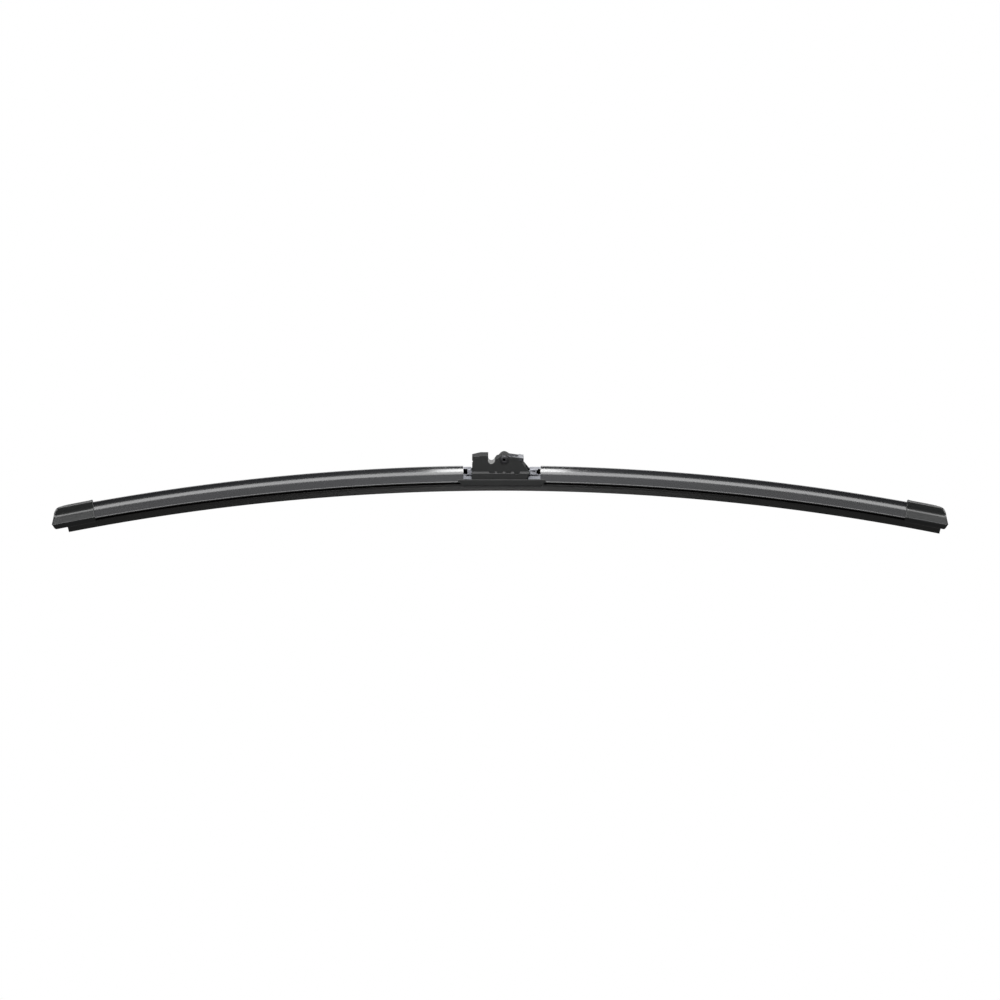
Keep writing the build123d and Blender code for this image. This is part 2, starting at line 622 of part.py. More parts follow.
# Adapter: open shell round the ears with a notch for the arm's cross pin
def make_adapter_body():
    back = PIVOT_X - ADAPTER_REAR_LENGTH
    end = PIVOT_X + ADAPTER_END_LENGTH
    foot = PIVOT_X + ADAPTER_FOOT_LENGTH
    block_top = PIVOT_HEIGHT + BLOCK_HEIGHT
    roof_end = PIVOT_HEIGHT + ROOF_END_HEIGHT
    end_bottom = PIVOT_HEIGHT - END_WALL_DROP
    lip_middle = FLOOR_HEIGHT + LIP_CLEARANCE
    lip_back = lip_middle + ADAPTER_REAR_LENGTH * tan(radians(SWING))
    lip_foot = lip_middle + ADAPTER_FOOT_LENGTH * tan(radians(SWING))
    slope = radians(NOTCH_SLOPE)
    seat_left = (seat_x - SEAT_RADIUS, seat_z)
    seat_low = (seat_x, seat_z - SEAT_RADIUS)
    seat_right = (seat_x + SEAT_RADIUS * sin(slope), seat_z - SEAT_RADIUS * cos(slope))
    ledge = (PIVOT_X - NOTCH_LEDGE_BACK + NOTCH_LEDGE_LENGTH, PIVOT_HEIGHT + NOTCH_LEDGE_RISE)
    slope_top_x = PIVOT_X - NOTCH_LEDGE_BACK
    slope_top = (slope_top_x, seat_right[1] + (slope_top_x - seat_right[0]) * tan(slope))
    hump_left = (
        PIVOT_X + HUMP_RADIUS * cos(radians(HUMP_START)),
        PIVOT_HEIGHT + HUMP_RADIUS * sin(radians(HUMP_START)),
    )
    hump_right = roof_points()[0]
    outline = make_face(
        Polyline((back, lip_back), (back, block_top), (seat_left[0], block_top), seat_left)
        + ThreePointArc(seat_left, seat_low, seat_right)
        + Polyline(seat_right, slope_top, ledge, hump_left)
        + ThreePointArc(hump_left, (PIVOT_X, PIVOT_HEIGHT + HUMP_RADIUS), hump_right)
        + Polyline(
            hump_right,
            (end, roof_end),
            (end, end_bottom),
            (foot, lip_foot),
            (PIVOT_X, lip_middle),
            (back, lip_back),
        )
    )
    body = across(outline, adapter_half)
    # Three bays inside: under the block, under the seat and round the ears
    bay_left = back + ADAPTER_ROOF
    bay_right = end - ADAPTER_ROOF
    seat_wall_left = seat_left[0] - ADAPTER_ROOF
    seat_wall_right = seat_right[0] + ADAPTER_ROOF * sin(slope)
    seat_wall_low = seat_low[1] - ADAPTER_ROOF
    inner_hump = HUMP_RADIUS - HUMP_ROOF
    hollow = Polygon(
        (bay_left, -MARGIN),
        (bay_left, block_top - ADAPTER_ROOF),
        (seat_wall_left, block_top - ADAPTER_ROOF),
        (seat_wall_left, seat_wall_low),
        (seat_wall_right, seat_wall_low),
        (seat_wall_right, seat_right[1] - ADAPTER_ROOF * cos(slope)),
        (PIVOT_X - inner_hump, PIVOT_HEIGHT),
        (PIVOT_X, PIVOT_HEIGHT),
        (PIVOT_X + inner_hump, PIVOT_HEIGHT),
        (bay_right, roof_end - ADAPTER_ROOF - LEAF_THICKNESS),
        (bay_right, -MARGIN),
        align=None,
    )
    hollow += Pos(PIVOT_X, PIVOT_HEIGHT) * Circle(inner_hump)
    # Below the end walls the shell is open so that it can rock over the bracket
    wall_clearance = bracket_middle + LIP_CLEARANCE
    back_wall_low = wall_clearance + ADAPTER_REAR_LENGTH * tan(radians(SWING))
    end_wall_low = wall_clearance + ADAPTER_END_LENGTH * tan(radians(SWING))
    for outside, inside, wall_low in (
        (back - MARGIN, bay_left, back_wall_low),
        (foot + MARGIN, bay_right, end_wall_low),
    ):
        opening = Polyline(
            (outside, -MARGIN),
            (outside, wall_low),
            (inside, wall_low),
            (inside, -MARGIN),
            close=True,
        )
        hollow += make_face(opening)
    # The rear corner of the block is cut off in plan, and its wall follows the cut
    cut_length = hypot(NOSE_CHAMFER_LENGTH, NOSE_CHAMFER_WIDTH)
    wall_x = ADAPTER_WALL * cut_length / NOSE_CHAMFER_WIDTH
    wall_y = ADAPTER_WALL * cut_length / NOSE_CHAMFER_LENGTH
    corner = Polygon(
        (back, adapter_half),
        (back + NOSE_CHAMFER_LENGTH, adapter_half),
        (back, adapter_half - NOSE_CHAMFER_WIDTH),
        align=None,
    )
    wall_corner = Polygon(
        (back, adapter_half),
        (back + NOSE_CHAMFER_LENGTH + wall_x, adapter_half),
        (back, adapter_half - NOSE_CHAMFER_WIDTH - wall_y),
        align=None,
    )
    corner_wall = extrude(Plane.XY.offset(back_wall_low) * wall_corner, WIDE, dir=(0, 0, 1))
    body -= across(hollow, adapter_inner) - corner_wall
    body -= extrude(corner, WIDE, both=True)
    body -= across(Pos(PIVOT_X, PIVOT_HEIGHT) * Circle(RIVET_RADIUS + FIT), WIDE)
    grip = Pos(back, PIVOT_HEIGHT - GRIP_DROP) * Rectangle(2 * GRIP_DEPTH, GRIP_HEIGHT)
    body -= across(grip, WIDE)
    # The block's windward top edge is chamfered at its rear end
    edge = Polygon(
        (-adapter_half, block_top),
        (-adapter_half + BLOCK_CHAMFER, block_top),
        (-adapter_half, block_top - BLOCK_CHAMFER),
        align=None,
    )
    body -= straight(edge, back - MARGIN, back + BLOCK_CHAMFER_LENGTH)
    body -= lock_spring_seat()
    return body


# The mount's axis is the origin: the seat of the arm's cross pin, on the blade's middle plane
to_mount = Pos(-seat_x, 0, -seat_z)
spoiler_reach = BLADE_LENGTH / 2 - CAP_LENGTH + CAP_GRIP
pieces = {
    "wiper_rubber": make_wiper_rubber(),
    "spring_rail_front": make_spring_rail(-1),
    "spring_rail_rear": make_spring_rail(1),
    "spoiler_left": make_spoiler(-spoiler_reach, gap_left),
    "spoiler_right": make_spoiler(gap_right, spoiler_reach),
    "end_cap_left": make_end_cap(-1, RUBBER_INSET_LEFT),
    "end_cap_right": make_end_cap(1, RUBBER_INSET_RIGHT),
    "clamp_left": make_clamp(bracket_left, bracket_left + CLAMP_LEFT_LENGTH),
    "clamp_right": make_clamp(bracket_right - CLAMP_RIGHT_LENGTH, bracket_right),
    "pivot_bracket": make_pivot_bracket(),
    "base_cover": make_base_cover(),
    "pivot_rivet": make_pivot_rivet(),
    "pivot_bush": make_pivot_bush(),
    "adapter_body": make_adapter_body(),
    "lock_spring": make_lock_spring(),
}

os.makedirs("parts", exist_ok=True)
for name, piece in pieces.items():
    export_step(to_mount * piece, f"parts/{name}.step")
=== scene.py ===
from math import acos, atan2, ceil, cos, hypot, pi, radians, sin, sqrt, tan

import bmesh
import bpy
import numpy as np
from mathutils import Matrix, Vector


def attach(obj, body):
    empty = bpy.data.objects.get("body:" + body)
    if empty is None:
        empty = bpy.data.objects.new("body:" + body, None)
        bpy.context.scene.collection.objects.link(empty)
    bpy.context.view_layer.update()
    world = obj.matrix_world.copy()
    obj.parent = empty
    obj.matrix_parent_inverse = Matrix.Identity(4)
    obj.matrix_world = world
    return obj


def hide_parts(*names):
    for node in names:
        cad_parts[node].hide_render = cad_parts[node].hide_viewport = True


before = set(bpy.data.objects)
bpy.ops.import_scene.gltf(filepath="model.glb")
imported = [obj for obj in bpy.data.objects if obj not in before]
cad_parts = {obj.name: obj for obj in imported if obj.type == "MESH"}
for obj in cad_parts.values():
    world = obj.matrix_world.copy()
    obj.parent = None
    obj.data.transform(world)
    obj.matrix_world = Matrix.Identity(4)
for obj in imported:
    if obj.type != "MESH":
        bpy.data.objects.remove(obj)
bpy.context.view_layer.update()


# Wiper rubber: one extruded strip of natural rubber with a graphite coat, slid onto the two spring rails.
# Its back strip and lower head hold the rails between them, and a thin neck lets the lip flop over.
MM = 0.001
BOW_RADIUS = 1490.0
CROWN_X = 5.75
CROWN_Z = -12.75
RUBBER_ENDS = (-290.6, 296.2)
RUBBER_PITCH = 3.0
RUBBER_HALF_SECTION = [
    (3.2, 0.85, 0.12), (3.2, 0.05, 0.0), (1.35, 0.05, 0.0), (1.35, -0.9, 0.0),
    (3.0, -0.9, 0.15), (3.0, -2.2, 0.3), (0.45, -2.2, 0.2), (0.45, -3.6, 0.3),
    (2.8, -3.6, 0.25), (2.8, -4.5, 0.3), (1.3, -5.25, 0.6), (0.4, -8.9, 0.03),
]
# Share of a side that a rounded corner may take up, and the distance in mm at which points are one point
LONGEST_LEG = 0.48
JOIN_DISTANCE = 0.001
CORNER_STEPS = 5


def on_bow(run, across, height):
    """Point on the blade: run is the arc length from the crown, height is above the rails' top, in mm."""
    reach = BOW_RADIUS + height
    angle = run / BOW_RADIUS
    return Vector((
        (CROWN_X + reach * sin(angle)) * MM,
        across * MM,
        (CROWN_Z + reach * cos(angle) - BOW_RADIUS) * MM,
    ))


def rounded_outline(corners):
    """Closed outline with each (y, z, radius) corner turned on an arc."""
    points = []
    for index, (y, z, radius) in enumerate(corners):
        here = Vector((y, z))
        back = Vector(corners[index - 1][:2]) - here
        ahead = Vector(corners[(index + 1) % len(corners)][:2]) - here
        if radius <= 0:
            points.append(here)
            continue
        half_angle = acos(max(-1.0, min(1.0, back.normalized().dot(ahead.normalized())))) / 2
        leg = min(radius / tan(half_angle), LONGEST_LEG * back.length, LONGEST_LEG * ahead.length)
        start = here + back.normalized() * leg
        end = here + ahead.normalized() * leg
        centre = here + (back.normalized() + ahead.normalized()).normalized() * (leg / cos(half_angle))
        arm = (start - centre).length
        for step in range(CORNER_STEPS + 1):
            blend = start.lerp(end, step / CORNER_STEPS) - centre
            points.append(centre + blend.normalized() * arm)
    return points


def mirrored(section):
    """A section's points on the other side of the blade."""
    return [(-y, z, radius) for y, z, radius in section]


def placed(name, bm):
    """Object in the scene made from a finished bmesh, with its faces turned outwards."""
    bmesh.ops.recalc_face_normals(bm, faces=bm.faces)
    mesh = bpy.data.meshes.new(name)
    bm.to_mesh(mesh)
    bm.free()
    piece = bpy.data.objects.new(name, mesh)
    bpy.context.scene.collection.objects.link(piece)
    return piece


def even_shading(piece):
    """The same piece, shaded by its larger faces, with its sharp edges kept."""
    even = piece.modifiers.new("even_shading", "WEIGHTED_NORMAL")
    even.keep_sharp = True
    return piece


def swept_piece(name, loops, start, end, pitch, lipped=None, lip_run=None):
    """Mesh of a section carried along the bow; the first loop is the outside, the others are hollows.

    Over the stretch lip_run the outside takes the outline lipped, which has as many points.
    """
    bm = bmesh.new()
    run_map = bm.loops.layers.uv.new("along_and_round")
    stops = [start, end] if lip_run is None else [start, lip_run[0], lip_run[1], end]
    stretches = list(zip(stops, stops[1:]))
    runs = []
    in_lip = []
    for place, (first, last) in enumerate(stretches):
        pieces = ceil((last - first) / pitch)
        runs += [first + (last - first) * index / pieces for index in range(pieces + 1)]
        in_lip += [place == 1] * (pieces + 1)
    count = len(runs) - 1
    end_edges = ([], [])
    for outline in loops:
        outside = outline is loops[0]
        walked = [0.0]
        for index, point in enumerate(outline):
            walked.append(walked[-1] + (outline[(index + 1) % len(outline)] - point).length)
        rings = []
        for run, with_lip in zip(runs, in_lip):
            shape = lipped if outside and with_lip else outline
            rings.append([bm.verts.new(on_bow(run, y, z)) for y, z in shape])
        for step in range(count):
            for index in range(len(outline)):
                after = (index + 1) % len(outline)
                face = bm.faces.new((
                    rings[step][index], rings[step][after], rings[step + 1][after], rings[step + 1][index],
                ))
                face.smooth = True
                marks = ((step, index), (step, index + 1), (step + 1, index + 1), (step + 1, index))
                for loop, (along, round_section) in zip(face.loops, marks):
                    loop[run_map].uv = (runs[along] * MM, walked[round_section] * MM)
        for side, ring in ((0, rings[0]), (1, rings[-1])):
            for index, vert in enumerate(ring):
                end_edges[side].append(bm.edges.get((vert, ring[(index + 1) % len(ring)])))
        for step in range(count):
            if in_lip[step] != in_lip[step + 1]:
                for ring in (rings[step], rings[step + 1]):
                    for index, vert in enumerate(ring):
                        bm.edges.get((vert, ring[(index + 1) % len(ring)])).smooth = False
    for edges in end_edges:
        filled = bmesh.ops.triangle_fill(bm, use_beauty=True, use_dissolve=False, edges=edges)
        for edge in edges:
            edge.smooth = False
        for part in filled["geom"]:
            if isinstance(part, bmesh.types.BMFace):
                for loop in part.loops:
                    loop[run_map].uv = (loop.vert.co.y, loop.vert.co.z)
    bmesh.ops.remove_doubles(bm, verts=bm.verts, dist=JOIN_DISTANCE * MM)
    return even_shading(placed(name, bm))


def linear(hex_colour):
    """sRGB hex colour as linear RGBA."""
    channels = [int(hex_colour[place:place + 2], 16) / 255 for place in (1, 3, 5)]
    return (*[c / 12.92 if c <= 0.04045 else ((c + 0.055) / 1.055) ** 2.4 for c in channels], 1.0)


def add_node(tree, kind, values=None, links=None, **settings):
    """One node with its options, its socket values and the sockets that feed it."""
    node = tree.nodes.new(kind)
    for option, value in settings.items():
        setattr(node, option, value)
    for socket, value in (values or {}).items():
        node.inputs[socket].default_value = value
    for socket, source in (links or {}).items():
        tree.links.new(source, node.inputs[socket])
    return node


def new_material(name):
    """Named material with its node tree and its shader."""
    material = bpy.data.materials.new(name)
    material.use_nodes = True
    return material, material.node_tree, material.node_tree.nodes["Principled BSDF"]


# Natural rubber with a graphite coat: nearly black and quite matt, with faint die lines along it.
# The lines are about 0.15 mm apart on the real strip and are drawn at 0.35 mm so that they show.
rubber_finish, tree, shader = new_material("graphite_coated_rubber")
shader.inputs["IOR"].default_value = 1.52
shader.inputs["Specular IOR Level"].default_value = 0.5
along = add_node(tree, "ShaderNodeUVMap", uv_map="along_and_round")
drawn = add_node(
    tree, "ShaderNodeMapping", {"Scale": (12.0, 1 / (0.35 * MM), 1.0)}, {"Vector": along.outputs[0]}
)
lines = add_node(tree, "ShaderNodeTexNoise", {"Scale": 1.0, "Detail": 2.0}, {"Vector": drawn.outputs[0]})
place = add_node(tree, "ShaderNodeTexCoord")
bloom = add_node(
    tree, "ShaderNodeTexNoise", {"Scale": 1 / (9 * MM), "Detail": 4.0}, {"Vector": place.outputs["Object"]}
)
tint = add_node(
    tree, "ShaderNodeMix",
    {6: linear("#1c1c1c"), 7: linear("#242423")}, {0: bloom.outputs["Fac"]},
    data_type="RGBA",
)
tree.links.new(tint.outputs[2], shader.inputs["Base Color"])
dull = add_node(
    tree, "ShaderNodeMapRange", {"To Min": 0.45, "To Max": 0.62}, {"Value": lines.outputs["Fac"]}
)
tree.links.new(dull.outputs[0], shader.inputs["Roughness"])
relief = add_node(
    tree, "ShaderNodeBump", {"Strength": 0.12, "Distance": 0.05 * MM}, {"Height": lines.outputs["Fac"]}
)
tree.links.new(relief.outputs[0], shader.inputs["Normal"])

rubber_section = rounded_outline(mirrored(RUBBER_HALF_SECTION) + RUBBER_HALF_SECTION[::-1])
rubber = swept_piece("wiper_rubber_strip", [rubber_section], *RUBBER_ENDS, pitch=RUBBER_PITCH)
rubber.data.materials.append(rubber_finish)
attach(rubber, "blade")
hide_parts("wiper_rubber")


# Spring rails: two strips of rolled spring steel, bent to the bow and coated black against rust.
# They lie in the rubber's grooves and are hidden but for their edges and ends.
def dress(names, material):
    """Finish on the CAD nodes of a group."""
    for name in names:
        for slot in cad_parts[name].material_slots:
            slot.material = material


# Cathodic dip coat on rolled strip: even satin black, with a faint orange peel about 0.8 mm across.
coated_strip, tree, shader = new_material("black_dip_coated_spring_steel")
shader.inputs["Base Color"].default_value = linear("#1b1b1c")
shader.inputs["IOR"].default_value = 1.5
place = add_node(tree, "ShaderNodeTexCoord")
peel = add_node(
    tree, "ShaderNodeTexNoise", {"Scale": 1 / (0.8 * MM), "Detail": 2.0}, {"Vector": place.outputs["Object"]}
)
sheen = add_node(
    tree, "ShaderNodeMapRange", {"To Min": 0.32, "To Max": 0.46}, {"Value": peel.outputs["Fac"]}
)
tree.links.new(sheen.outputs[0], shader.inputs["Roughness"])
relief = add_node(
    tree, "ShaderNodeBump", {"Strength": 0.15, "Distance": 0.03 * MM}, {"Height": peel.outputs["Fac"]}
)
tree.links.new(relief.outputs[0], shader.inputs["Normal"])
dress(("spring_rail_front", "spring_rail_rear"), coated_strip)


# Wind spoilers: two lengths of one hollow extrusion in a soft black elastomer, clipped over the rails.
# A flat facet leads up to a hollow flank and a thin ridge, so that the wind presses the blade to the glass.
# The facet's lower edge stands out as a lip, cut back where the caps and the middle cover go over it.
SPOILER_RUNS = {"spoiler_left": (-278.7, -24.38), "spoiler_right": (26.88, 278.7)}
RIDGE_RADIUS = 0.6
RIDGE_CENTRE = (0.6, 7.4)
LIP_RUNS = {"spoiler_left": (-270.4, -27.9), "spoiler_right": (30.4, 270.4)}
SPOILER_PITCH = 2.5
FLANK_STEPS = 22
FACET_CORNERS = ((-7.4, -0.6), (-4.0, 1.95))
REAR_FACET_CORNERS = ((-7.4, -0.2), (-4.7, 2.2))
CLAW_FOOT = -1.7
CLAW_TIP = 5.0
RAIL_UNDERSIDE = -0.9
PLAIN_EDGE = [(-7.4, CLAW_FOOT, 0.2), (-7.37, -1.15, 0.1), (*FACET_CORNERS[0], 0.4)]
LIPPED_EDGE = [(-7.2, CLAW_FOOT, 0.1), (-8.04, -1.19, 0.12), (-7.78, -0.885, 0.15)]
REAR_EDGE = [(7.4, -0.2, 0.6), (7.4, CLAW_FOOT, 0.25)]
CLAW = [(CLAW_TIP, CLAW_FOOT, 0.2), (CLAW_TIP, RAIL_UNDERSIDE, 0.1)]
GROOVE_HALF_SECTION = [(6.25, RAIL_UNDERSIDE, 0.0), (6.25, 0.05, 0.0), (3.3, 0.05, 0.0), (3.3, 0.9, 0.1)]
CHAMBER_CORNERS = [(-3.0, 1.8, 0.3), (3.7, 1.8, 0.3), (0.95, 5.4, 0.25), (0.25, 5.4, 0.25)]


def flank_arc(foot, facet_top, ridge_side, skin=0.0):
    """Arc that leaves the facet in its own direction and ends at the ridge, or a skin outside it."""
    facet = (Vector(facet_top) - Vector(foot)).normalized()
    chord = Vector(ridge_side) - Vector(facet_top)
    turn = 2 * (atan2(chord.y, chord.x) - atan2(facet.y, facet.x))
    radius = chord.length / (2 * sin(turn / 2))
    heading = atan2(facet.y, facet.x)
    points = []
    for step in range(FLANK_STEPS + 1):
        now = heading + turn * step / FLANK_STEPS
        points.append((
            facet_top[0] + radius * (sin(now) - sin(heading)) - skin * sin(now),
            facet_top[1] - radius * (cos(now) - cos(heading)) + skin * cos(now),
            0.0,
        ))
    return points


front_flank = flank_arc(*FACET_CORNERS, (RIDGE_CENTRE[0] - RIDGE_RADIUS, RIDGE_CENTRE[1]))
rear_flank = flank_arc(*REAR_FACET_CORNERS, (-RIDGE_CENTRE[0] - RIDGE_RADIUS, RIDGE_CENTRE[1]))
ridge = [
    (
        RIDGE_CENTRE[0] - RIDGE_RADIUS * cos(radians(angle)),
        RIDGE_CENTRE[1] + RIDGE_RADIUS * sin(radians(angle)),
        0.0,
    )
    for angle in range(15, 180, 15)
]
grip = CLAW + GROOVE_HALF_SECTION
upper_outline = (
    front_flank + ridge + mirrored(rear_flank)[::-1] + REAR_EDGE + grip + mirrored(grip)[::-1]
)
spoiler_section = rounded_outline(PLAIN_EDGE + upper_outline)
lipped_section = rounded_outline(LIPPED_EDGE + upper_outline)
chamber_section = rounded_outline(CHAMBER_CORNERS)

# Extruded thermoplastic elastomer: deep black with a soft satin gloss and fine straight die lines.
# Real die lines are some 0.05 mm apart; they are drawn at 0.25 mm so that they show.
spoiler_finish, tree, shader = new_material("satin_extruded_elastomer")
shader.inputs["IOR"].default_value = 1.5
along = add_node(tree, "ShaderNodeUVMap", uv_map="along_and_round")
drawn = add_node(
    tree, "ShaderNodeMapping", {"Scale": (6.0, 1 / (0.25 * MM), 1.0)}, {"Vector": along.outputs[0]}
)
lines = add_node(tree, "ShaderNodeTexNoise", {"Scale": 1.0, "Detail": 3.0}, {"Vector": drawn.outputs[0]})
waves = add_node(
    tree, "ShaderNodeMapping",
    {"Scale": (1 / (60 * MM), 1 / (4 * MM), 1.0)}, {"Vector": along.outputs[0]},
)
haze = add_node(tree, "ShaderNodeTexNoise", {"Scale": 1.0, "Detail": 3.0}, {"Vector": waves.outputs[0]})
tint = add_node(
    tree, "ShaderNodeMix",
    {6: linear("#1a1b1c"), 7: linear("#212123")}, {0: haze.outputs["Fac"]},
    data_type="RGBA",
)
tree.links.new(tint.outputs[2], shader.inputs["Base Color"])
both = add_node(
    tree, "ShaderNodeMath", {}, {0: lines.outputs["Fac"], 1: haze.outputs["Fac"]}, operation="ADD"
)
gloss = add_node(
    tree, "ShaderNodeMapRange", {"From Max": 2.0, "To Min": 0.13, "To Max": 0.22}, {"Value": both.outputs[0]}
)
tree.links.new(gloss.outputs[0], shader.inputs["Roughness"])
relief = add_node(
    tree, "ShaderNodeBump", {"Strength": 0.05, "Distance": 0.02 * MM}, {"Height": lines.outputs["Fac"]}
)
tree.links.new(relief.outputs[0], shader.inputs["Normal"])

for name, run in SPOILER_RUNS.items():
    spoiler = swept_piece(
        name + "_extrusion", [spoiler_section, chamber_section], *run, pitch=SPOILER_PITCH,
        lipped=lipped_section, lip_run=LIP_RUNS[name],
    )
    spoiler.data.materials.append(spoiler_finish)
    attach(spoiler, "blade")
    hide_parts(name)


# End caps: injection moulded covers pushed over the ends of spoiler, rails and rubber.
# A low collar with a rounded mouth frames the open end, the nose is rounded off and the tucked-in skirt
# leaves the lip free.
CAP_LENGTH = 29.3
CAP_WALL = 0.7
CAP_TOP = 9.4
CAP_RIDGE_RADIUS = 1.9
CAP_FACET_FEET = ((-7.5, -0.975), (-7.4, -0.2))
CAP_FLANK_TURN = radians(75.0)
CAP_FLANK_RADIUS = 5.0
CAP_FOOT = -4.4
CAP_GRIP = 8.05
CAP_MIDDLE_RUN = 300.0 - CAP_LENGTH / 2
NOSE_TIP = -0.45
NOSE_INSET = 0.08
NOSE_LEAN = 1.9
NOSE_LEAN_TOP = 4.284
NOSE_ROUND_END = 8.22
NOSE_UNDERCUT = 1.3
NOSE_UNDERCUT_SLOPE = 0.371
NOSE_EDGE_RADIUS = 1.25
SKIRT_LEVELS = [
    (-4.4, 5.9), (-4.34, 6.05), (-4.22, 6.17), (-4.05, 6.3), (-3.2, 6.57), (-2.2, 6.89), (-1.32, 7.17),
]
LEDGE_LEVELS = [(-1.29, 7.8), (-1.25, 8.0), (-1.16, 8.12)]
COLLAR = [
    (0.0, -0.3), (0.06, -0.14), (0.16, 0.0), (0.3, 0.1), (0.48, 0.17), (0.7, 0.2),
    (1.1, 0.2), (1.25, 0.12), (1.4, 0.02),
]
CAP_RUNS = [1.6, 2.2, 4.0, 7.0, 10.0, 13.0, 16.0]
EDGE_STEPS = [0.0, 0.1, 0.21, 0.33, 0.47, 0.63, 0.83, 1.1, 1.6]
SOCKET_SKIN = 0.13
MOUTH_SKIN = 0.32
MOUTH_DEPTH = 0.5
RUBBER_INSETS = {"end_cap_left": 9.4, "end_cap_right": 3.8}
# Half width, top and bottom of the slots for the rails and for the rubber
RAIL_SLOT = (6.4, 0.2, -1.05)
RAIL_SLOT_INSET = 5.8
LIP_SLOT = (3.4, 1.2, -7.0)
LIP_SLOT_PLAY = 0.2
# How far the cutters and the outline of the nose run on past the cap
CUT_OVERRUN = 1.0
NOSE_BLOCK = 60.0
# How finely the cap's surface is drawn, and the length in mm below which an edge is dropped
FLAT_STEPS = 7
HOLLOW_STEPS = 14
SKIN_RIDGE_STEPS = 12
NOSE_MIDDLE_PARTS = 5
NOSE_PROFILE_STEPS = 120
NOSE_PASSES = 4
SLOPE_STEP = 0.02
FLATTEST_SLOPE = 0.05
SPLINTER = 0.0005


def arc(centre, radius, start, end, steps):
    """Points of an arc from one turn to another, both ends included."""
    turns = [start + (end - start) * step / steps for step in range(steps + 1)]
    return [(centre[0] + radius * cos(turn), centre[1] + radius * sin(turn)) for turn in turns]


def straight_run(start, end):
    """Points between the two ends of a flat."""
    shares = [step / FLAT_STEPS for step in range(1, FLAT_STEPS)]
    return [tuple(a + (b - a) * share for a, b in zip(start, end)) for share in shares]


def skin_side(foot, facet_top, ridge_y, skin):
    """One side of a skin over the spoiler, from its foot up to the middle of its ridge."""
    ridge_z = RIDGE_CENTRE[1]
    round_ridge = RIDGE_RADIUS + skin
    facet_out = atan2(facet_top[1] - foot[1], facet_top[0] - foot[0]) + pi / 2
    points = arc(foot, skin, pi, facet_out, CORNER_STEPS)
    flank = flank_arc(foot, facet_top, (ridge_y - RIDGE_RADIUS, ridge_z), skin)
    points += straight_run(points[-1], flank[0])
    points += [(y, z) for y, z, _ in flank if hypot(y - ridge_y, z - ridge_z) > round_ridge]
    crease = atan2(points[-1][1] - ridge_z, points[-1][0] - ridge_y) % (2 * pi)
    return points + arc((ridge_y, ridge_z), round_ridge, crease, pi / 2, SKIN_RIDGE_STEPS)[1:]


def skin_sides(skin):
    """Both sides of a skin over the spoiler."""
    front = skin_side(*FACET_CORNERS, RIDGE_CENTRE[0], skin)
    rear = skin_side(*REAR_FACET_CORNERS, -RIDGE_CENTRE[0], skin)
    return front, [(-y, z) for y, z in rear]


def cap_side(foot, facet_corners, ridge_y):
    """One side of the cap's outside: rounded foot, flat facet, hollow, flat flank and half of its ridge."""
    (low_y, low_z), (high_y, high_z) = facet_corners
    facet_out = atan2(high_z - low_z, high_y - low_y) + pi / 2
    flank_out = CAP_FLANK_TURN + pi / 2
    ridge_centre = (ridge_y, CAP_TOP - CAP_RIDGE_RADIUS)
    foot_arc = arc(foot, CAP_WALL, pi, facet_out, CORNER_STEPS)
    ridge_arc = arc(ridge_centre, CAP_RIDGE_RADIUS, flank_out, pi / 2, HOLLOW_STEPS)
    outward = np.array([(cos(turn), sin(turn)) for turn in (facet_out, flank_out)])
    starts = (foot_arc[-1], ridge_arc[0])
    reaches = [out @ np.array(point) + CAP_FLANK_RADIUS for out, point in zip(outward, starts)]
    centre = np.linalg.solve(outward, reaches)
    hollow = arc(centre, -CAP_FLANK_RADIUS, facet_out, flank_out, HOLLOW_STEPS)
    facet = straight_run(foot_arc[-1], hollow[0])
    flank = straight_run(hollow[-1], ridge_arc[0])
    return foot_arc + facet + hollow + flank + ridge_arc


def nose_reach(height):
    """How far the cap's nose reaches at a height, from the cap's middle."""
    half = CAP_LENGTH / 2 - NOSE_INSET
    if height <= NOSE_TIP:
        return half - NOSE_UNDERCUT * (NOSE_TIP - height) / (NOSE_TIP - CAP_FOOT)
    if height <= NOSE_LEAN_TOP:
        return half - NOSE_LEAN * (height - NOSE_TIP) / (NOSE_LEAN_TOP - NOSE_TIP)
    rise = CAP_TOP - NOSE_LEAN_TOP
    radius = ((NOSE_ROUND_END - NOSE_LEAN) ** 2 + rise**2) / (2 * rise)
    return half - NOSE_ROUND_END + sqrt(max(0.0, radius**2 - (height - CAP_TOP + radius) ** 2))


def signed_distance(points, corners):
    """Distance of 2D points from a closed outline, negative inside it."""
    ahead = np.roll(corners, -1, axis=0)
    side = ahead - corners
    off = points[:, None, :] - corners
    share = np.clip((off * side).sum(-1) / (side**2).sum(-1), 0.0, 1.0)
    gap = np.sqrt(((off - share[..., None] * side) ** 2).sum(-1)).min(1)
    height = points[:, None, 1]
    crossed = (height >= corners[:, 1]) != (height >= ahead[:, 1])
    rise = np.where(side[:, 1] == 0, 1.0, side[:, 1])
    left = points[:, None, 0] < corners[:, 0] + (height - corners[:, 1]) * side[:, 0] / rise
    inside = (crossed & left).sum(1) % 2 == 1
    return np.where(inside, -gap, gap)


def round_nose(points, section, nose):
    """Points of the sharp-edged cap moved onto a cap whose nose edges have a radius."""
    def outside(at):
        skin = signed_distance(at[:, 1:], section) + NOSE_EDGE_RADIUS
        front = signed_distance(at[:, [0, 2]], nose) + NOSE_EDGE_RADIUS
        edge = np.hypot(np.maximum(skin, 0.0), np.maximum(front, 0.0))
        return edge - NOSE_EDGE_RADIUS + np.minimum(np.maximum(skin, front), 0.0)

    for _ in range(NOSE_PASSES):
        slope = np.stack([
            (outside(points + shift) - outside(points - shift)) / (2 * SLOPE_STEP)
            for shift in SLOPE_STEP * np.eye(3)
        ], axis=1)
        size = np.maximum((slope**2).sum(1), FLATTEST_SLOPE)
        points = points - (np.maximum(outside(points), 0.0) / size)[:, None] * slope
    return points


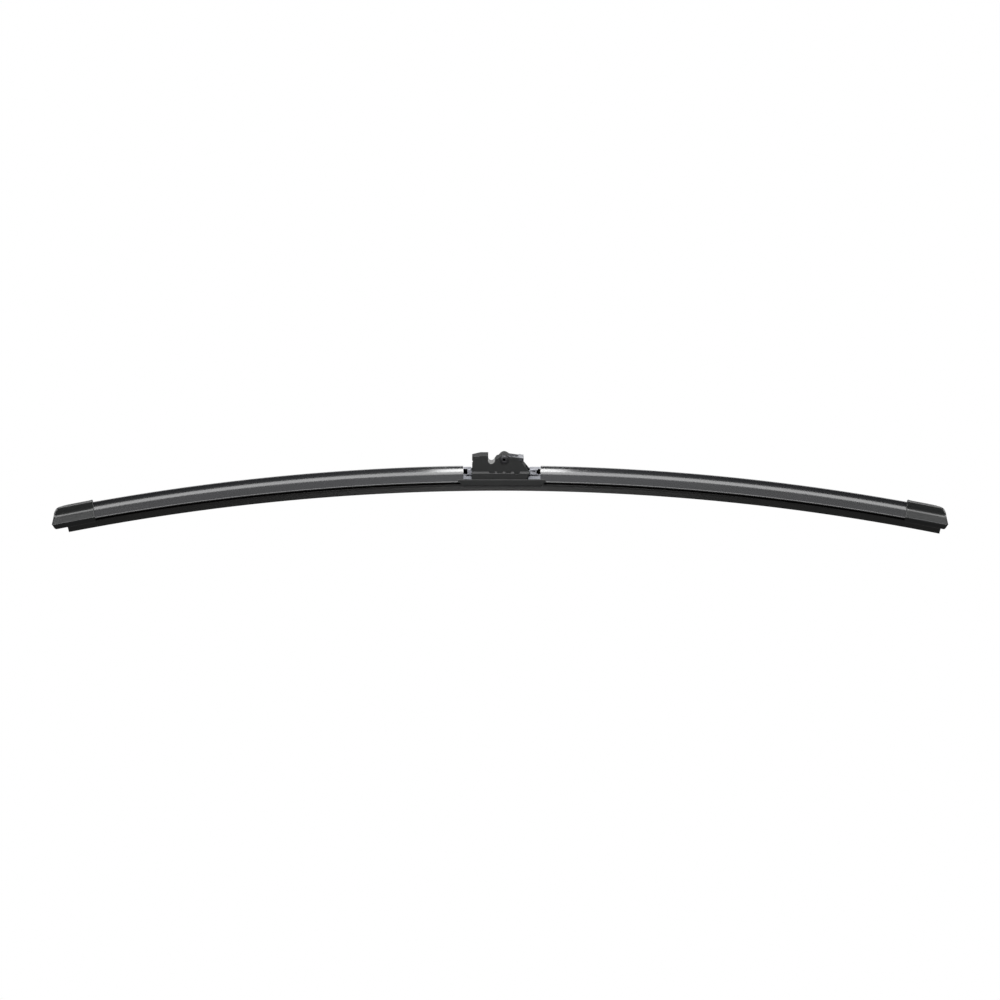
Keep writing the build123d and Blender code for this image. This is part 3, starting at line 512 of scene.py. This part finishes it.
def on_cap(point, side):
    """Point of an end cap, which is straight, at its end of the bow."""
    x, y, z = point
    turn = CAP_MIDDLE_RUN / BOW_RADIUS
    along = (BOW_RADIUS + z) * sin(turn) + x * cos(turn)
    height = (BOW_RADIUS + z) * cos(turn) - x * sin(turn) - BOW_RADIUS
    return Vector((CROWN_X + side * along, y, CROWN_Z + height)) * MM


def prism(name, outline, start, end, side):
    """Straight prism in an end cap's own frame, for cutting its hollows."""
    bm = bmesh.new()
    rings = [[bm.verts.new(on_cap((x, y, z), side)) for y, z in outline] for x in (start, end)]
    for index in range(len(outline)):
        after = (index + 1) % len(outline)
        bm.faces.new((rings[0][index], rings[0][after], rings[1][after], rings[1][index]))
    bm.faces.new(rings[0])
    bm.faces.new(rings[1])
    return placed(name, bm)


def join_faces(piece):
    """Join the points that neighbouring faces of a mesh keep apart."""
    joined = piece.modifiers.new("join_faces", "WELD")
    joined.merge_threshold = JOIN_DISTANCE * MM


def hollow_out(solid, cutters):
    """The same piece with the cutters' shapes taken out of it; the cutters are used up."""
    join_faces(solid)
    for cutter in cutters:
        cut = solid.modifiers.new(cutter.name, "BOOLEAN")
        cut.operation = "DIFFERENCE"
        cut.solver = "MANIFOLD"
        cut.object = cutter
    name = solid.name
    cut_solid = solid.evaluated_get(bpy.context.evaluated_depsgraph_get())
    cut_mesh = bpy.data.meshes.new_from_object(cut_solid)
    for used in cutters + [solid]:
        bpy.data.objects.remove(used)
    bm = bmesh.new()
    bm.from_mesh(cut_mesh)
    bmesh.ops.dissolve_degenerate(bm, edges=bm.edges, dist=SPLINTER * MM)
    bm.to_mesh(cut_mesh)
    bm.free()
    cut_mesh.name = name
    piece = bpy.data.objects.new(name, cut_mesh)
    bpy.context.scene.collection.objects.link(piece)
    return piece


def cap_levels():
    """Heights of the cap's surface with the front and the rear at each, from the foot to the ridge."""
    front = cap_side(CAP_FACET_FEET[0], FACET_CORNERS, RIDGE_CENTRE[0])
    rear = [(-y, z) for y, z in cap_side(CAP_FACET_FEET[1], REAR_FACET_CORNERS, -RIDGE_CENTRE[0])]
    levels = [(z, -half, half) for z, half in SKIRT_LEVELS + LEDGE_LEVELS]
    rear_heights = [z for y, z in rear]
    rear_places = [y for y, z in rear]
    for y, z in front:
        levels.append((z, y, float(np.interp(z, rear_heights, rear_places))))
    return levels


def moulded_cap(name, side, rubber_inset):
    """Mesh of one cap: skin, ledge and skirt with a rounded nose, hollowed for what runs into it."""
    half = CAP_LENGTH / 2
    levels = cap_levels()
    section = np.array([(y, z) for z, y, _ in levels] + [(y, z) for z, _, y in levels[-2::-1]])
    profile = [(nose_reach(z), z) for z in np.linspace(CAP_FOOT, CAP_TOP, NOSE_PROFILE_STEPS)]
    below = CAP_FOOT - NOSE_BLOCK
    undercut_end = half - NOSE_UNDERCUT - NOSE_UNDERCUT_SLOPE * NOSE_BLOCK
    nose = np.array(
        [(-NOSE_BLOCK, below), (undercut_end, below)] + profile + [(-NOSE_BLOCK, CAP_TOP + NOSE_BLOCK / 2)]
    )
    points = []
    where = {}

    def add(key, point):
        where[key] = len(points)
        points.append(point)

    inner = [run for run, _ in COLLAR] + CAP_RUNS
    columns = len(inner) + len(EDGE_STEPS)
    for level, (z, front, rear) in enumerate(levels):
        reach = nose_reach(z)
        places = [-half + run for run in inner] + [reach - step for step in EDGE_STEPS[::-1]]
        for column, x in enumerate(places):
            add((level, "front", column), (x, front, z))
            add((level, "rear", column), (x, rear, z))
        width = rear - front
        scale = min(1.0, width / (3 * EDGE_STEPS[-1]))
        steps = [step * scale for step in EDGE_STEPS[1:]]
        middle = [
            steps[-1] + (width - 2 * steps[-1]) * part / NOSE_MIDDLE_PARTS
            for part in range(1, NOSE_MIDDLE_PARTS)
        ]
        nose_steps = steps + middle + [width - step for step in steps[:0:-1]]
        for index, step in enumerate(nose_steps):
            add((level, "nose", index + 1), (reach, front + step, z))
    nose_columns = len(nose_steps) + 2
    smooth = round_nose(np.array(points), section, nose)
    # The collar stands proud of the skin above the ledge
    for level in range(len(SKIRT_LEVELS), len(levels)):
        before = levels[level - 1]
        after = levels[min(level + 1, len(levels) - 1)]
        for flank, at in (("front", 1), ("rear", 2)):
            along = Vector((after[at] - before[at], after[0] - before[0]))
            out = Vector((-along.y, along.x)) if flank == "front" else Vector((along.y, -along.x))
            if level == len(levels) - 1:
                out = Vector((0.0, 1.0))
            out.normalize()
            for column, (_, proud) in enumerate(COLLAR):
                smooth[where[level, flank, column]] += np.array((0.0, out.x * proud, out.y * proud))

    bm = bmesh.new()
    verts = [bm.verts.new(on_cap(point, side)) for point in smooth]

    def face(*keys):
        made = bm.faces.new([verts[where[key]] for key in keys])
        made.smooth = True
        return made

    def nose_key(level, column):
        if column == 0:
            return (level, "front", columns - 1)
        return (level, "rear", columns - 1) if column == nose_columns - 1 else (level, "nose", column)

    for level in range(len(levels) - 1):
        for flank in ("front", "rear"):
            for column in range(columns - 1):
                face((level, flank, column), (level, flank, column + 1),
                     (level + 1, flank, column + 1), (level + 1, flank, column))
        for column in range(nose_columns - 1):
            face(nose_key(level, column), nose_key(level, column + 1),
                 nose_key(level + 1, column + 1), nose_key(level + 1, column))
        end = face((level, "front", 0), (level, "rear", 0), (level + 1, "rear", 0), (level + 1, "front", 0))
        end.smooth = False
    for column in range(columns - 1):
        under = face((0, "front", column), (0, "rear", column),
                     (0, "rear", column + 1), (0, "front", column + 1))
        under.smooth = False
    face(*[nose_key(0, column) for column in range(nose_columns)]).smooth = False
    bmesh.ops.remove_doubles(bm, verts=bm.verts, dist=2 * JOIN_DISTANCE * MM)
    bmesh.ops.dissolve_degenerate(bm, edges=bm.edges, dist=JOIN_DISTANCE * MM)
    solid = placed(name, bm)

    cut_start = -half - CUT_OVERRUN
    cutters = []
    for cut, skin, depth in (("socket", SOCKET_SKIN, CAP_GRIP), ("mouth", MOUTH_SKIN, MOUTH_DEPTH)):
        front, rear = skin_sides(skin)
        foot = [(rear[0][0], CLAW_FOOT - SOCKET_SKIN), (front[0][0], CLAW_FOOT - SOCKET_SKIN)]
        cutters.append(prism(cut, front + rear[-2::-1] + foot, cut_start, depth - half, side))
    slots = (
        ("rail_slot", RAIL_SLOT, half - RAIL_SLOT_INSET),
        ("lip_slot", LIP_SLOT, half - rubber_inset + LIP_SLOT_PLAY),
    )
    for cut, (wide, top, low), cut_end in slots:
        outline = [(-wide, top), (wide, top), (wide, low), (-wide, low)]
        cutters.append(prism(cut, outline, cut_start, cut_end, side))
    return even_shading(hollow_out(solid, cutters))


# Moulded ABS with a fine spark-eroded grain: dull dark grey, its gloss broken up by specks.
# The grain is about 0.1 mm and is drawn at 0.3 mm so that it shows.
cap_finish, tree, shader = new_material("grained_black_abs")
shader.inputs["IOR"].default_value = 1.53
shader.inputs["Specular IOR Level"].default_value = 0.35
place = add_node(tree, "ShaderNodeTexCoord")
grain = add_node(
    tree, "ShaderNodeTexNoise", {"Scale": 1 / (0.3 * MM), "Detail": 3.0}, {"Vector": place.outputs["Object"]}
)
flow = add_node(
    tree, "ShaderNodeTexNoise", {"Scale": 1 / (12 * MM), "Detail": 2.0}, {"Vector": place.outputs["Object"]}
)
tint = add_node(
    tree, "ShaderNodeMix",
    {6: linear("#1d1e1e"), 7: linear("#252626")}, {0: flow.outputs["Fac"]},
    data_type="RGBA",
)
tree.links.new(tint.outputs[2], shader.inputs["Base Color"])
gloss = add_node(
    tree, "ShaderNodeMapRange", {"To Min": 0.2, "To Max": 0.3}, {"Value": grain.outputs["Fac"]}
)
tree.links.new(gloss.outputs[0], shader.inputs["Roughness"])
relief = add_node(
    tree, "ShaderNodeBump", {"Strength": 0.1, "Distance": 0.02 * MM}, {"Height": grain.outputs["Fac"]}
)
tree.links.new(relief.outputs[0], shader.inputs["Normal"])
for side, name in ((-1, "end_cap_left"), (1, "end_cap_right")):
    cap = moulded_cap(name + "_moulding", side, RUBBER_INSETS[name])
    cap.data.materials.clear()
    cap.data.materials.append(cap_finish)
    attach(cap, "blade")
    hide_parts(name)


# Rail clamps and pivot bracket: strip steel, blanked and folded, then zinc plated.
# The clamps' claws are closed under both rails and the bracket is welded on top of them.
CLAMP_EDGE = 0.12
WALL_INSIDE = 4.05
WEB_UNDERSIDE = -6.5
NOTCH_RUNS = ((-19.1, -15.9), (30.7, 33.1))
NOTCH_DEPTHS = (-5.4, -2.4)
NOTCH_HEIGHTS = (-9.7, -6.0)
SHARP_ANGLE = radians(30.0)
FLAT_ANGLE = radians(0.5)


def soften_edges(node, radius):
    """Small radius on a CAD node's sharp edges, as its tool or die leaves them."""
    join_faces(node)
    flat = node.modifiers.new("join_flats", "DECIMATE")
    flat.decimate_type = "DISSOLVE"
    flat.angle_limit = FLAT_ANGLE
    edge = node.modifiers.new("tool_radius", "BEVEL")
    edge.width = radius * MM
    edge.segments = 2
    edge.limit_method = "ANGLE"
    edge.angle_limit = SHARP_ANGLE
    edge.use_clamp_overlap = True
    edge.harden_normals = True
    even_shading(node)


# Dull zinc plate: blue-grey metal with a soft sheen, streaked along the rolling direction.
# The streaks are drawn about 0.4 mm apart.
zinc_plate, tree, shader = new_material("dull_zinc_plated_steel")
shader.inputs["Metallic"].default_value = 1.0
place = add_node(tree, "ShaderNodeTexCoord")
rolled = add_node(
    tree, "ShaderNodeMapping", {"Scale": (1 / (8 * MM), 1 / (0.4 * MM), 1 / (0.4 * MM))},
    {"Vector": place.outputs["Object"]},
)
streaks = add_node(tree, "ShaderNodeTexNoise", {"Scale": 1.0, "Detail": 3.0}, {"Vector": rolled.outputs[0]})
cloud = add_node(
    tree, "ShaderNodeTexNoise", {"Scale": 1 / (2.5 * MM), "Detail": 3.0}, {"Vector": place.outputs["Object"]}
)
plated = add_node(
    tree, "ShaderNodeMix",
    {6: linear("#7c7d82"), 7: linear("#94959a")}, {0: cloud.outputs["Fac"]},
    data_type="RGBA",
)
# Painted shade: inside the boxed ends, between the walls and under the web, the plate is painted near black
# for the shade in the recess
spot = add_node(tree, "ShaderNodeSeparateXYZ", {}, {0: place.outputs["Object"]})
from_middle = add_node(tree, "ShaderNodeMath", {}, {0: spot.outputs["Y"]}, operation="ABSOLUTE")
between_walls = add_node(
    tree, "ShaderNodeMath", {1: WALL_INSIDE * MM}, {0: from_middle.outputs[0]}, operation="LESS_THAN"
)
under_web = add_node(
    tree, "ShaderNodeMath", {1: WEB_UNDERSIDE * MM}, {0: spot.outputs["Z"]}, operation="LESS_THAN"
)
inside = add_node(
    tree, "ShaderNodeMath", {}, {0: between_walls.outputs[0], 1: under_web.outputs[0]}, operation="MULTIPLY"
)
# Painted shade: the plate is mixed to near black inside the boxed ends
tint = add_node(
    tree, "ShaderNodeMix", {7: linear("#1b1b1c")}, {0: inside.outputs[0], 6: plated.outputs[2]},
    data_type="RGBA",
)
tree.links.new(tint.outputs[2], shader.inputs["Base Color"])
sheen = add_node(
    tree, "ShaderNodeMapRange", {"To Min": 0.7, "To Max": 0.85}, {"Value": streaks.outputs["Fac"]}
)
tree.links.new(sheen.outputs[0], shader.inputs["Roughness"])
relief = add_node(
    tree, "ShaderNodeBump", {"Strength": 0.1, "Distance": 0.02 * MM}, {"Height": streaks.outputs["Fac"]}
)
tree.links.new(relief.outputs[0], shader.inputs["Normal"])
dress(("pivot_bracket", "pivot_bush"), zinc_plate)

# The clamps' plating is duller and darker, because they are heat-treated before they are plated
clamp_plate = zinc_plate.copy()
clamp_plate.name = "dull_zinc_plated_spring_steel"
darker = clamp_plate.node_tree.nodes[plated.name]
darker.inputs[6].default_value = linear("#5d5e62")
darker.inputs[7].default_value = linear("#717276")
dress(("clamp_left", "clamp_right"), clamp_plate)
for name in ("clamp_left", "clamp_right"):
    soften_edges(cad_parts[name], CLAMP_EDGE)

# The bracket's two windows are notched on through the fold of the web and out to the bracket's ends
bracket = bpy.data.objects.new("pivot_bracket_folded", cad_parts["pivot_bracket"].data.copy())
bpy.context.scene.collection.objects.link(bracket)
notches = []
for run in NOTCH_RUNS:
    bm = bmesh.new()
    bmesh.ops.create_cube(bm, size=1.0)
    for vert in bm.verts:
        spans = zip(vert.co, (run, NOTCH_DEPTHS, NOTCH_HEIGHTS))
        vert.co = Vector([span[0] if at < 0 else span[1] for at, span in spans]) * MM
    notches.append(placed("notch", bm))
bracket = hollow_out(bracket, notches)
bracket.data.shade_smooth()
bracket.data.set_sharp_from_angle(angle=SHARP_ANGLE)
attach(bracket, "blade")
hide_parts("pivot_bracket")


# Base cover: one moulding snapped over the clamps, with skirts outside, a floor under the bracket
# and an upstand on each side of the adapter.
COVER_EDGE = 0.15
# Radii in mm round the pin of its worn seat, which is also painted lighter as a highlight
SEAT_RUB_AND_HIGHLIGHT = (2.2, 2.5)
# Glass-filled nylon from a spark-eroded tool: dull charcoal with pale specks and soft edges.
# The grain is about 0.15 mm and is drawn at 0.35 mm so that it shows.
cover_finish, tree, shader = new_material("grained_glass_filled_nylon")
shader.inputs["IOR"].default_value = 1.53
shader.inputs["Specular IOR Level"].default_value = 0.16
place = add_node(tree, "ShaderNodeTexCoord")
grain = add_node(
    tree, "ShaderNodeTexNoise", {"Scale": 1 / (0.35 * MM), "Detail": 4.0}, {"Vector": place.outputs["Object"]}
)
tint = add_node(
    tree, "ShaderNodeMix",
    {6: linear("#141515"), 7: linear("#1d1d1d")}, {0: grain.outputs["Fac"]},
    data_type="RGBA",
)
gloss = add_node(
    tree, "ShaderNodeMapRange", {"To Min": 0.45, "To Max": 0.65}, {"Value": grain.outputs["Fac"]}
)
# The arm's pin, whose axis is the frame's own Y axis, burnishes its seat to a smooth gloss; the seat's
# lighter colour is partly this wear and partly a painted highlight
radial = add_node(
    tree, "ShaderNodeVectorMath", {1: (1.0, 0.0, 1.0)}, {0: place.outputs["Object"]}, operation="MULTIPLY"
)
from_pin = add_node(tree, "ShaderNodeVectorMath", {}, {0: radial.outputs[0]}, operation="LENGTH")
burnish_and_highlight = add_node(
    tree, "ShaderNodeMapRange",
    {"From Min": SEAT_RUB_AND_HIGHLIGHT[0] * MM, "From Max": SEAT_RUB_AND_HIGHLIGHT[1] * MM, "To Min": 0.08, "To Max": 1.0},
    {"Value": from_pin.outputs["Value"]},
)
worn = add_node(
    tree, "ShaderNodeMath", {}, {0: gloss.outputs[0], 1: burnish_and_highlight.outputs[0]}, operation="MINIMUM"
)
tree.links.new(worn.outputs[0], shader.inputs["Roughness"])
# Painted highlight: the seat is mixed towards a lighter grey, partly as rubbed wear and partly as painted
# reflection
rubbed_and_highlit = add_node(
    tree, "ShaderNodeMix", {6: linear("#4c4c4b")}, {0: burnish_and_highlight.outputs[0], 7: tint.outputs[2]},
    data_type="RGBA",
)
tree.links.new(rubbed_and_highlit.outputs[2], shader.inputs["Base Color"])
relief = add_node(
    tree, "ShaderNodeBump", {"Strength": 0.2, "Distance": 0.04 * MM}, {"Height": grain.outputs["Fac"]}
)
tree.links.new(relief.outputs[0], shader.inputs["Normal"])
dress(("base_cover",), cover_finish)
soften_edges(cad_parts["base_cover"], COVER_EDGE)


# Pivot rivet: semi-tubular steel rivet through adapter, ears and bush, blackened before it is closed.
# The closing tool leaves a smooth dome on each side round the open end of its tube.
# Black oxide on steel: dark metal with a soft shine on the dome and a fine mottle.
black_oxide, tree, shader = new_material("black_oxide_steel")
shader.inputs["Metallic"].default_value = 1.0
place = add_node(tree, "ShaderNodeTexCoord")
scale = add_node(
    tree, "ShaderNodeTexNoise", {"Scale": 1 / (0.5 * MM), "Detail": 3.0}, {"Vector": place.outputs["Object"]}
)
tint = add_node(
    tree, "ShaderNodeMix",
    {6: linear("#2c2c2d"), 7: linear("#3c3c3e")}, {0: scale.outputs["Fac"]},
    data_type="RGBA",
)
tree.links.new(tint.outputs[2], shader.inputs["Base Color"])
sheen = add_node(
    tree, "ShaderNodeMapRange", {"To Min": 0.5, "To Max": 0.66}, {"Value": scale.outputs["Fac"]}
)
tree.links.new(sheen.outputs[0], shader.inputs["Roughness"])

RIVET_CENTRE = Vector((8.51, 0.0, 0.65)) * MM
RIVET_HALF_PROFILE = [
    (0.0, 3.6), (0.86, 3.6), (0.9, 3.7), (0.9, 7.42), (0.93, 7.53), (1.02, 7.59), (1.15, 7.6), (1.5, 7.56),
    (1.9, 7.46), (2.3, 7.31), (2.65, 7.12), (2.88, 6.96), (2.98, 6.84), (3.0, 6.77), (2.94, 6.71), (2.8, 6.7),
    (1.5, 6.7),
]
RIVET_STEPS = 64


def turned_piece(name, profile, centre, steps):
    """Mesh of a (radius, reach) profile in mm turned round the Y axis through a centre."""
    bm = bmesh.new()
    turns = [2 * pi * step / steps for step in range(steps)]
    rings = []
    for radius, reach in profile:
        rings.append([
            bm.verts.new(centre + Vector((radius * cos(turn), reach, radius * sin(turn))) * MM)
            for turn in (turns if radius > 0 else turns[:1])
        ])
    for inner, outer in zip(rings, rings[1:]):
        for step in range(steps):
            after = (step + 1) % steps
            corners = [inner[step % len(inner)], inner[after % len(inner)]]
            corners += [outer[after % len(outer)], outer[step % len(outer)]]
            face = bm.faces.new(list(dict.fromkeys(corners)))
            face.smooth = True
    return even_shading(placed(name, bm))


far_half = [(radius, -reach) for radius, reach in RIVET_HALF_PROFILE]
rivet_profile = RIVET_HALF_PROFILE + far_half[::-1]
rivet = turned_piece("pivot_rivet_closed", rivet_profile, RIVET_CENTRE, RIVET_STEPS)
rivet.data.materials.append(black_oxide)
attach(rivet, "blade")
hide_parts("pivot_rivet")


# Arm adapter: shell that rocks on the rivet and takes the arm's cross pin in its notch.
# It is moulded in the same glass-filled nylon as the cover.
ADAPTER_EDGE = 0.2
dress(("adapter_body",), cover_finish)
soften_edges(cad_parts["adapter_body"], ADAPTER_EDGE)


# Lock spring: T-shaped leaf blanked from tempered strip, laid on the adapter's sloping end with its end
# and sides folded down.
# Black-tempered spring strip: dark blue-grey face. Painted highlight: by which way a face points, the stem's
# faces turned sideways and the head's faces turned up are painted bright metal grey.
HEAD_START = 18.0
SPRING_EDGE = 0.08
tempered_strip, tree, shader = new_material("black_tempered_spring_strip")
shader.inputs["Metallic"].default_value = 1.0
place = add_node(tree, "ShaderNodeTexCoord")
# Painted highlight: which way a face points picks where the bright grey goes
facing = add_node(tree, "ShaderNodeSeparateXYZ", {}, {0: place.outputs["Normal"]})
face_up = add_node(
    tree, "ShaderNodeMapRange", {"From Min": 0.55, "From Max": 0.85}, {"Value": facing.outputs["Z"]}
)
spot = add_node(tree, "ShaderNodeSeparateXYZ", {}, {0: place.outputs["Object"]})
on_head = add_node(
    tree, "ShaderNodeMath", {1: HEAD_START * MM}, {0: spot.outputs["X"]}, operation="GREATER_THAN"
)
black = add_node(
    tree, "ShaderNodeMath", {}, {0: face_up.outputs[0], 1: on_head.outputs[0]}, operation="SUBTRACT"
)
outside_painted_highlight = add_node(tree, "ShaderNodeMath", {}, {0: black.outputs[0]}, operation="ABSOLUTE")
cloud = add_node(
    tree, "ShaderNodeTexNoise", {"Scale": 1 / (1.5 * MM), "Detail": 3.0}, {"Vector": place.outputs["Object"]}
)
scale_tint = add_node(
    tree, "ShaderNodeMix",
    {6: linear("#333437"), 7: linear("#434448")}, {0: cloud.outputs["Fac"]},
    data_type="RGBA",
)
# Painted highlight: bright metal grey on the stem's sideways faces and the head's upward faces, dark
# blue-grey elsewhere
tint = add_node(
    tree, "ShaderNodeMix", {6: linear("#8d8e92")}, {0: outside_painted_highlight.outputs[0], 7: scale_tint.outputs[2]},
    data_type="RGBA",
)
tree.links.new(tint.outputs[2], shader.inputs["Base Color"])
sheen = add_node(
    tree, "ShaderNodeMapRange", {"To Min": 0.5, "To Max": 0.65}, {"Value": cloud.outputs["Fac"]}
)
tree.links.new(sheen.outputs[0], shader.inputs["Roughness"])
dress(("lock_spring",), tempered_strip)
soften_edges(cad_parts["lock_spring"], SPRING_EDGE)


# Studio: a pale floor far below the blade and a long soft strip of light in front above it, with white
# panels overhead, behind and off both ends, and two small soft lights on the middle.
AIM = Vector((0.00572, 0.0, -0.02798))
CONNECTOR = Vector((0.0062, 0.0, -0.009))
VIEW_ELEVATION = 11.5
VIEW_DISTANCE = 3.2
FRAME_WIDTH = 0.665
FLOOR_DROP = 3.4
FLOOR_REACH = 30.0
SENSOR_WIDTH = 36.0


def seen_from(middle, elevation, distance, azimuth=0.0):
    """Point at an elevation and distance from a middle; the azimuth turns from the front to the right."""
    out = cos(radians(elevation))
    turn = radians(azimuth)
    return middle + distance * Vector((out * sin(turn), -out * cos(turn), sin(radians(elevation))))


def look_at(thing, place, middle):
    """Put a lamp or the camera at a place and turn it to a middle."""
    thing.location = place
    thing.rotation_euler = (middle - place).to_track_quat("-Z", "Y").to_euler()
    bpy.context.scene.collection.objects.link(thing)


def soft_panel(name, elevation, distance, length, height, radiance, azimuth=0.0, middle=AIM, spread=180.0):
    """Rectangular soft light turned to a middle, its power worked out from the brightness of its face."""
    lamp = bpy.data.lights.new(name, "AREA")
    lamp.shape = "RECTANGLE"
    lamp.size = length
    lamp.size_y = height
    lamp.energy = radiance * pi * length * height
    lamp.spread = radians(spread)
    panel = bpy.data.objects.new(name, lamp)
    panel.visible_camera = False
    look_at(panel, seen_from(middle, elevation, distance, azimuth), middle)


lens = bpy.data.cameras.new("photo_view")
lens.sensor_width = SENSOR_WIDTH
lens.lens = SENSOR_WIDTH * VIEW_DISTANCE / FRAME_WIDTH
lens.clip_end = 60.0
camera = bpy.data.objects.new("photo_view", lens)
look_at(camera, seen_from(AIM, VIEW_ELEVATION, VIEW_DISTANCE), AIM)
bpy.context.scene.camera = camera

soft_panel("strip_light", elevation=66.6, distance=1.2, length=2.0, height=0.47, radiance=8.2)
soft_panel("overhead", elevation=94.0, distance=1.5, length=2.6, height=1.0, radiance=0.75)
soft_panel(
    "rear_panel", elevation=62.0, distance=1.3, length=2.2, height=0.4, radiance=6.0, azimuth=180.0
)
for side, name in ((-1, "left_end_panel"), (1, "right_end_panel")):
    soft_panel(
        name, elevation=32.0, distance=0.45, length=0.3, height=0.3, radiance=0.8,
        azimuth=85.0 * side, middle=on_cap((0, 0, 0), side), spread=32.0,
    )
soft_panel(
    "middle_light", elevation=49.5, distance=0.16, length=0.1, height=0.05, radiance=25.0, middle=CONNECTOR
)
soft_panel(
    "low_light", elevation=-34.0, distance=0.2, length=0.14, height=0.05, radiance=5.5, middle=CONNECTOR
)

floor_mesh = bpy.data.meshes.new("floor")
floor_corners = [
    (x * FLOOR_REACH, y * FLOOR_REACH, AIM.z - FLOOR_DROP) for x, y in ((-1, -1), (1, -1), (1, 1), (-1, 1))
]
floor_mesh.from_pydata(floor_corners, [], [(0, 1, 2, 3)])
floor = bpy.data.objects.new("floor", floor_mesh)
bpy.context.scene.collection.objects.link(floor)
white_sweep, tree, shader = new_material("white_paper_floor")
shader.inputs["Base Color"].default_value = linear("#000000")
shader.inputs["Emission Color"].default_value = linear("#ffffff")
shader.inputs["Emission Strength"].default_value = 1.0
shader.inputs["Specular IOR Level"].default_value = 0.0
floor_mesh.materials.append(white_sweep)
floor.visible_diffuse = False
floor.visible_glossy = False

world = bpy.data.worlds.new("studio")
bpy.context.scene.world = world
world.use_nodes = True
tree = world.node_tree
tree.nodes.clear()
path = add_node(tree, "ShaderNodeLightPath")
place = add_node(tree, "ShaderNodeTexCoord")
direction = add_node(tree, "ShaderNodeSeparateXYZ", {}, {0: place.outputs["Generated"]})
glow = add_node(
    tree, "ShaderNodeMapRange", {"From Min": -0.12, "From Max": 0.02, "To Min": 0.28, "To Max": 0.05},
    {"Value": direction.outputs["Z"]},
)
behind = add_node(
    tree, "ShaderNodeMapRange", {"From Min": 0.5, "From Max": 0.8, "To Max": 0.65},
    {"Value": direction.outputs["Y"]},
)
low = add_node(
    tree, "ShaderNodeMapRange", {"From Min": 0.45, "From Max": 0.25}, {"Value": direction.outputs["Z"]}
)
paper = add_node(tree, "ShaderNodeMath", {}, {0: behind.outputs[0], 1: low.outputs[0]}, operation="MULTIPLY")
lit = add_node(tree, "ShaderNodeMath", {}, {0: paper.outputs[0], 1: glow.outputs[0]}, operation="MAXIMUM")
room = add_node(tree, "ShaderNodeBackground", {"Color": linear("#ffffff")}, {"Strength": lit.outputs[0]})
backdrop = add_node(tree, "ShaderNodeBackground", {"Color": linear("#ffffff"), "Strength": 1.0})
seen = add_node(
    tree, "ShaderNodeMixShader", {},
    {0: path.outputs["Is Camera Ray"], 1: room.outputs[0], 2: backdrop.outputs[0]},
)
add_node(tree, "ShaderNodeOutputWorld", {}, {"Surface": seen.outputs[0]})
bpy.context.scene.view_settings.view_transform = "Standard"
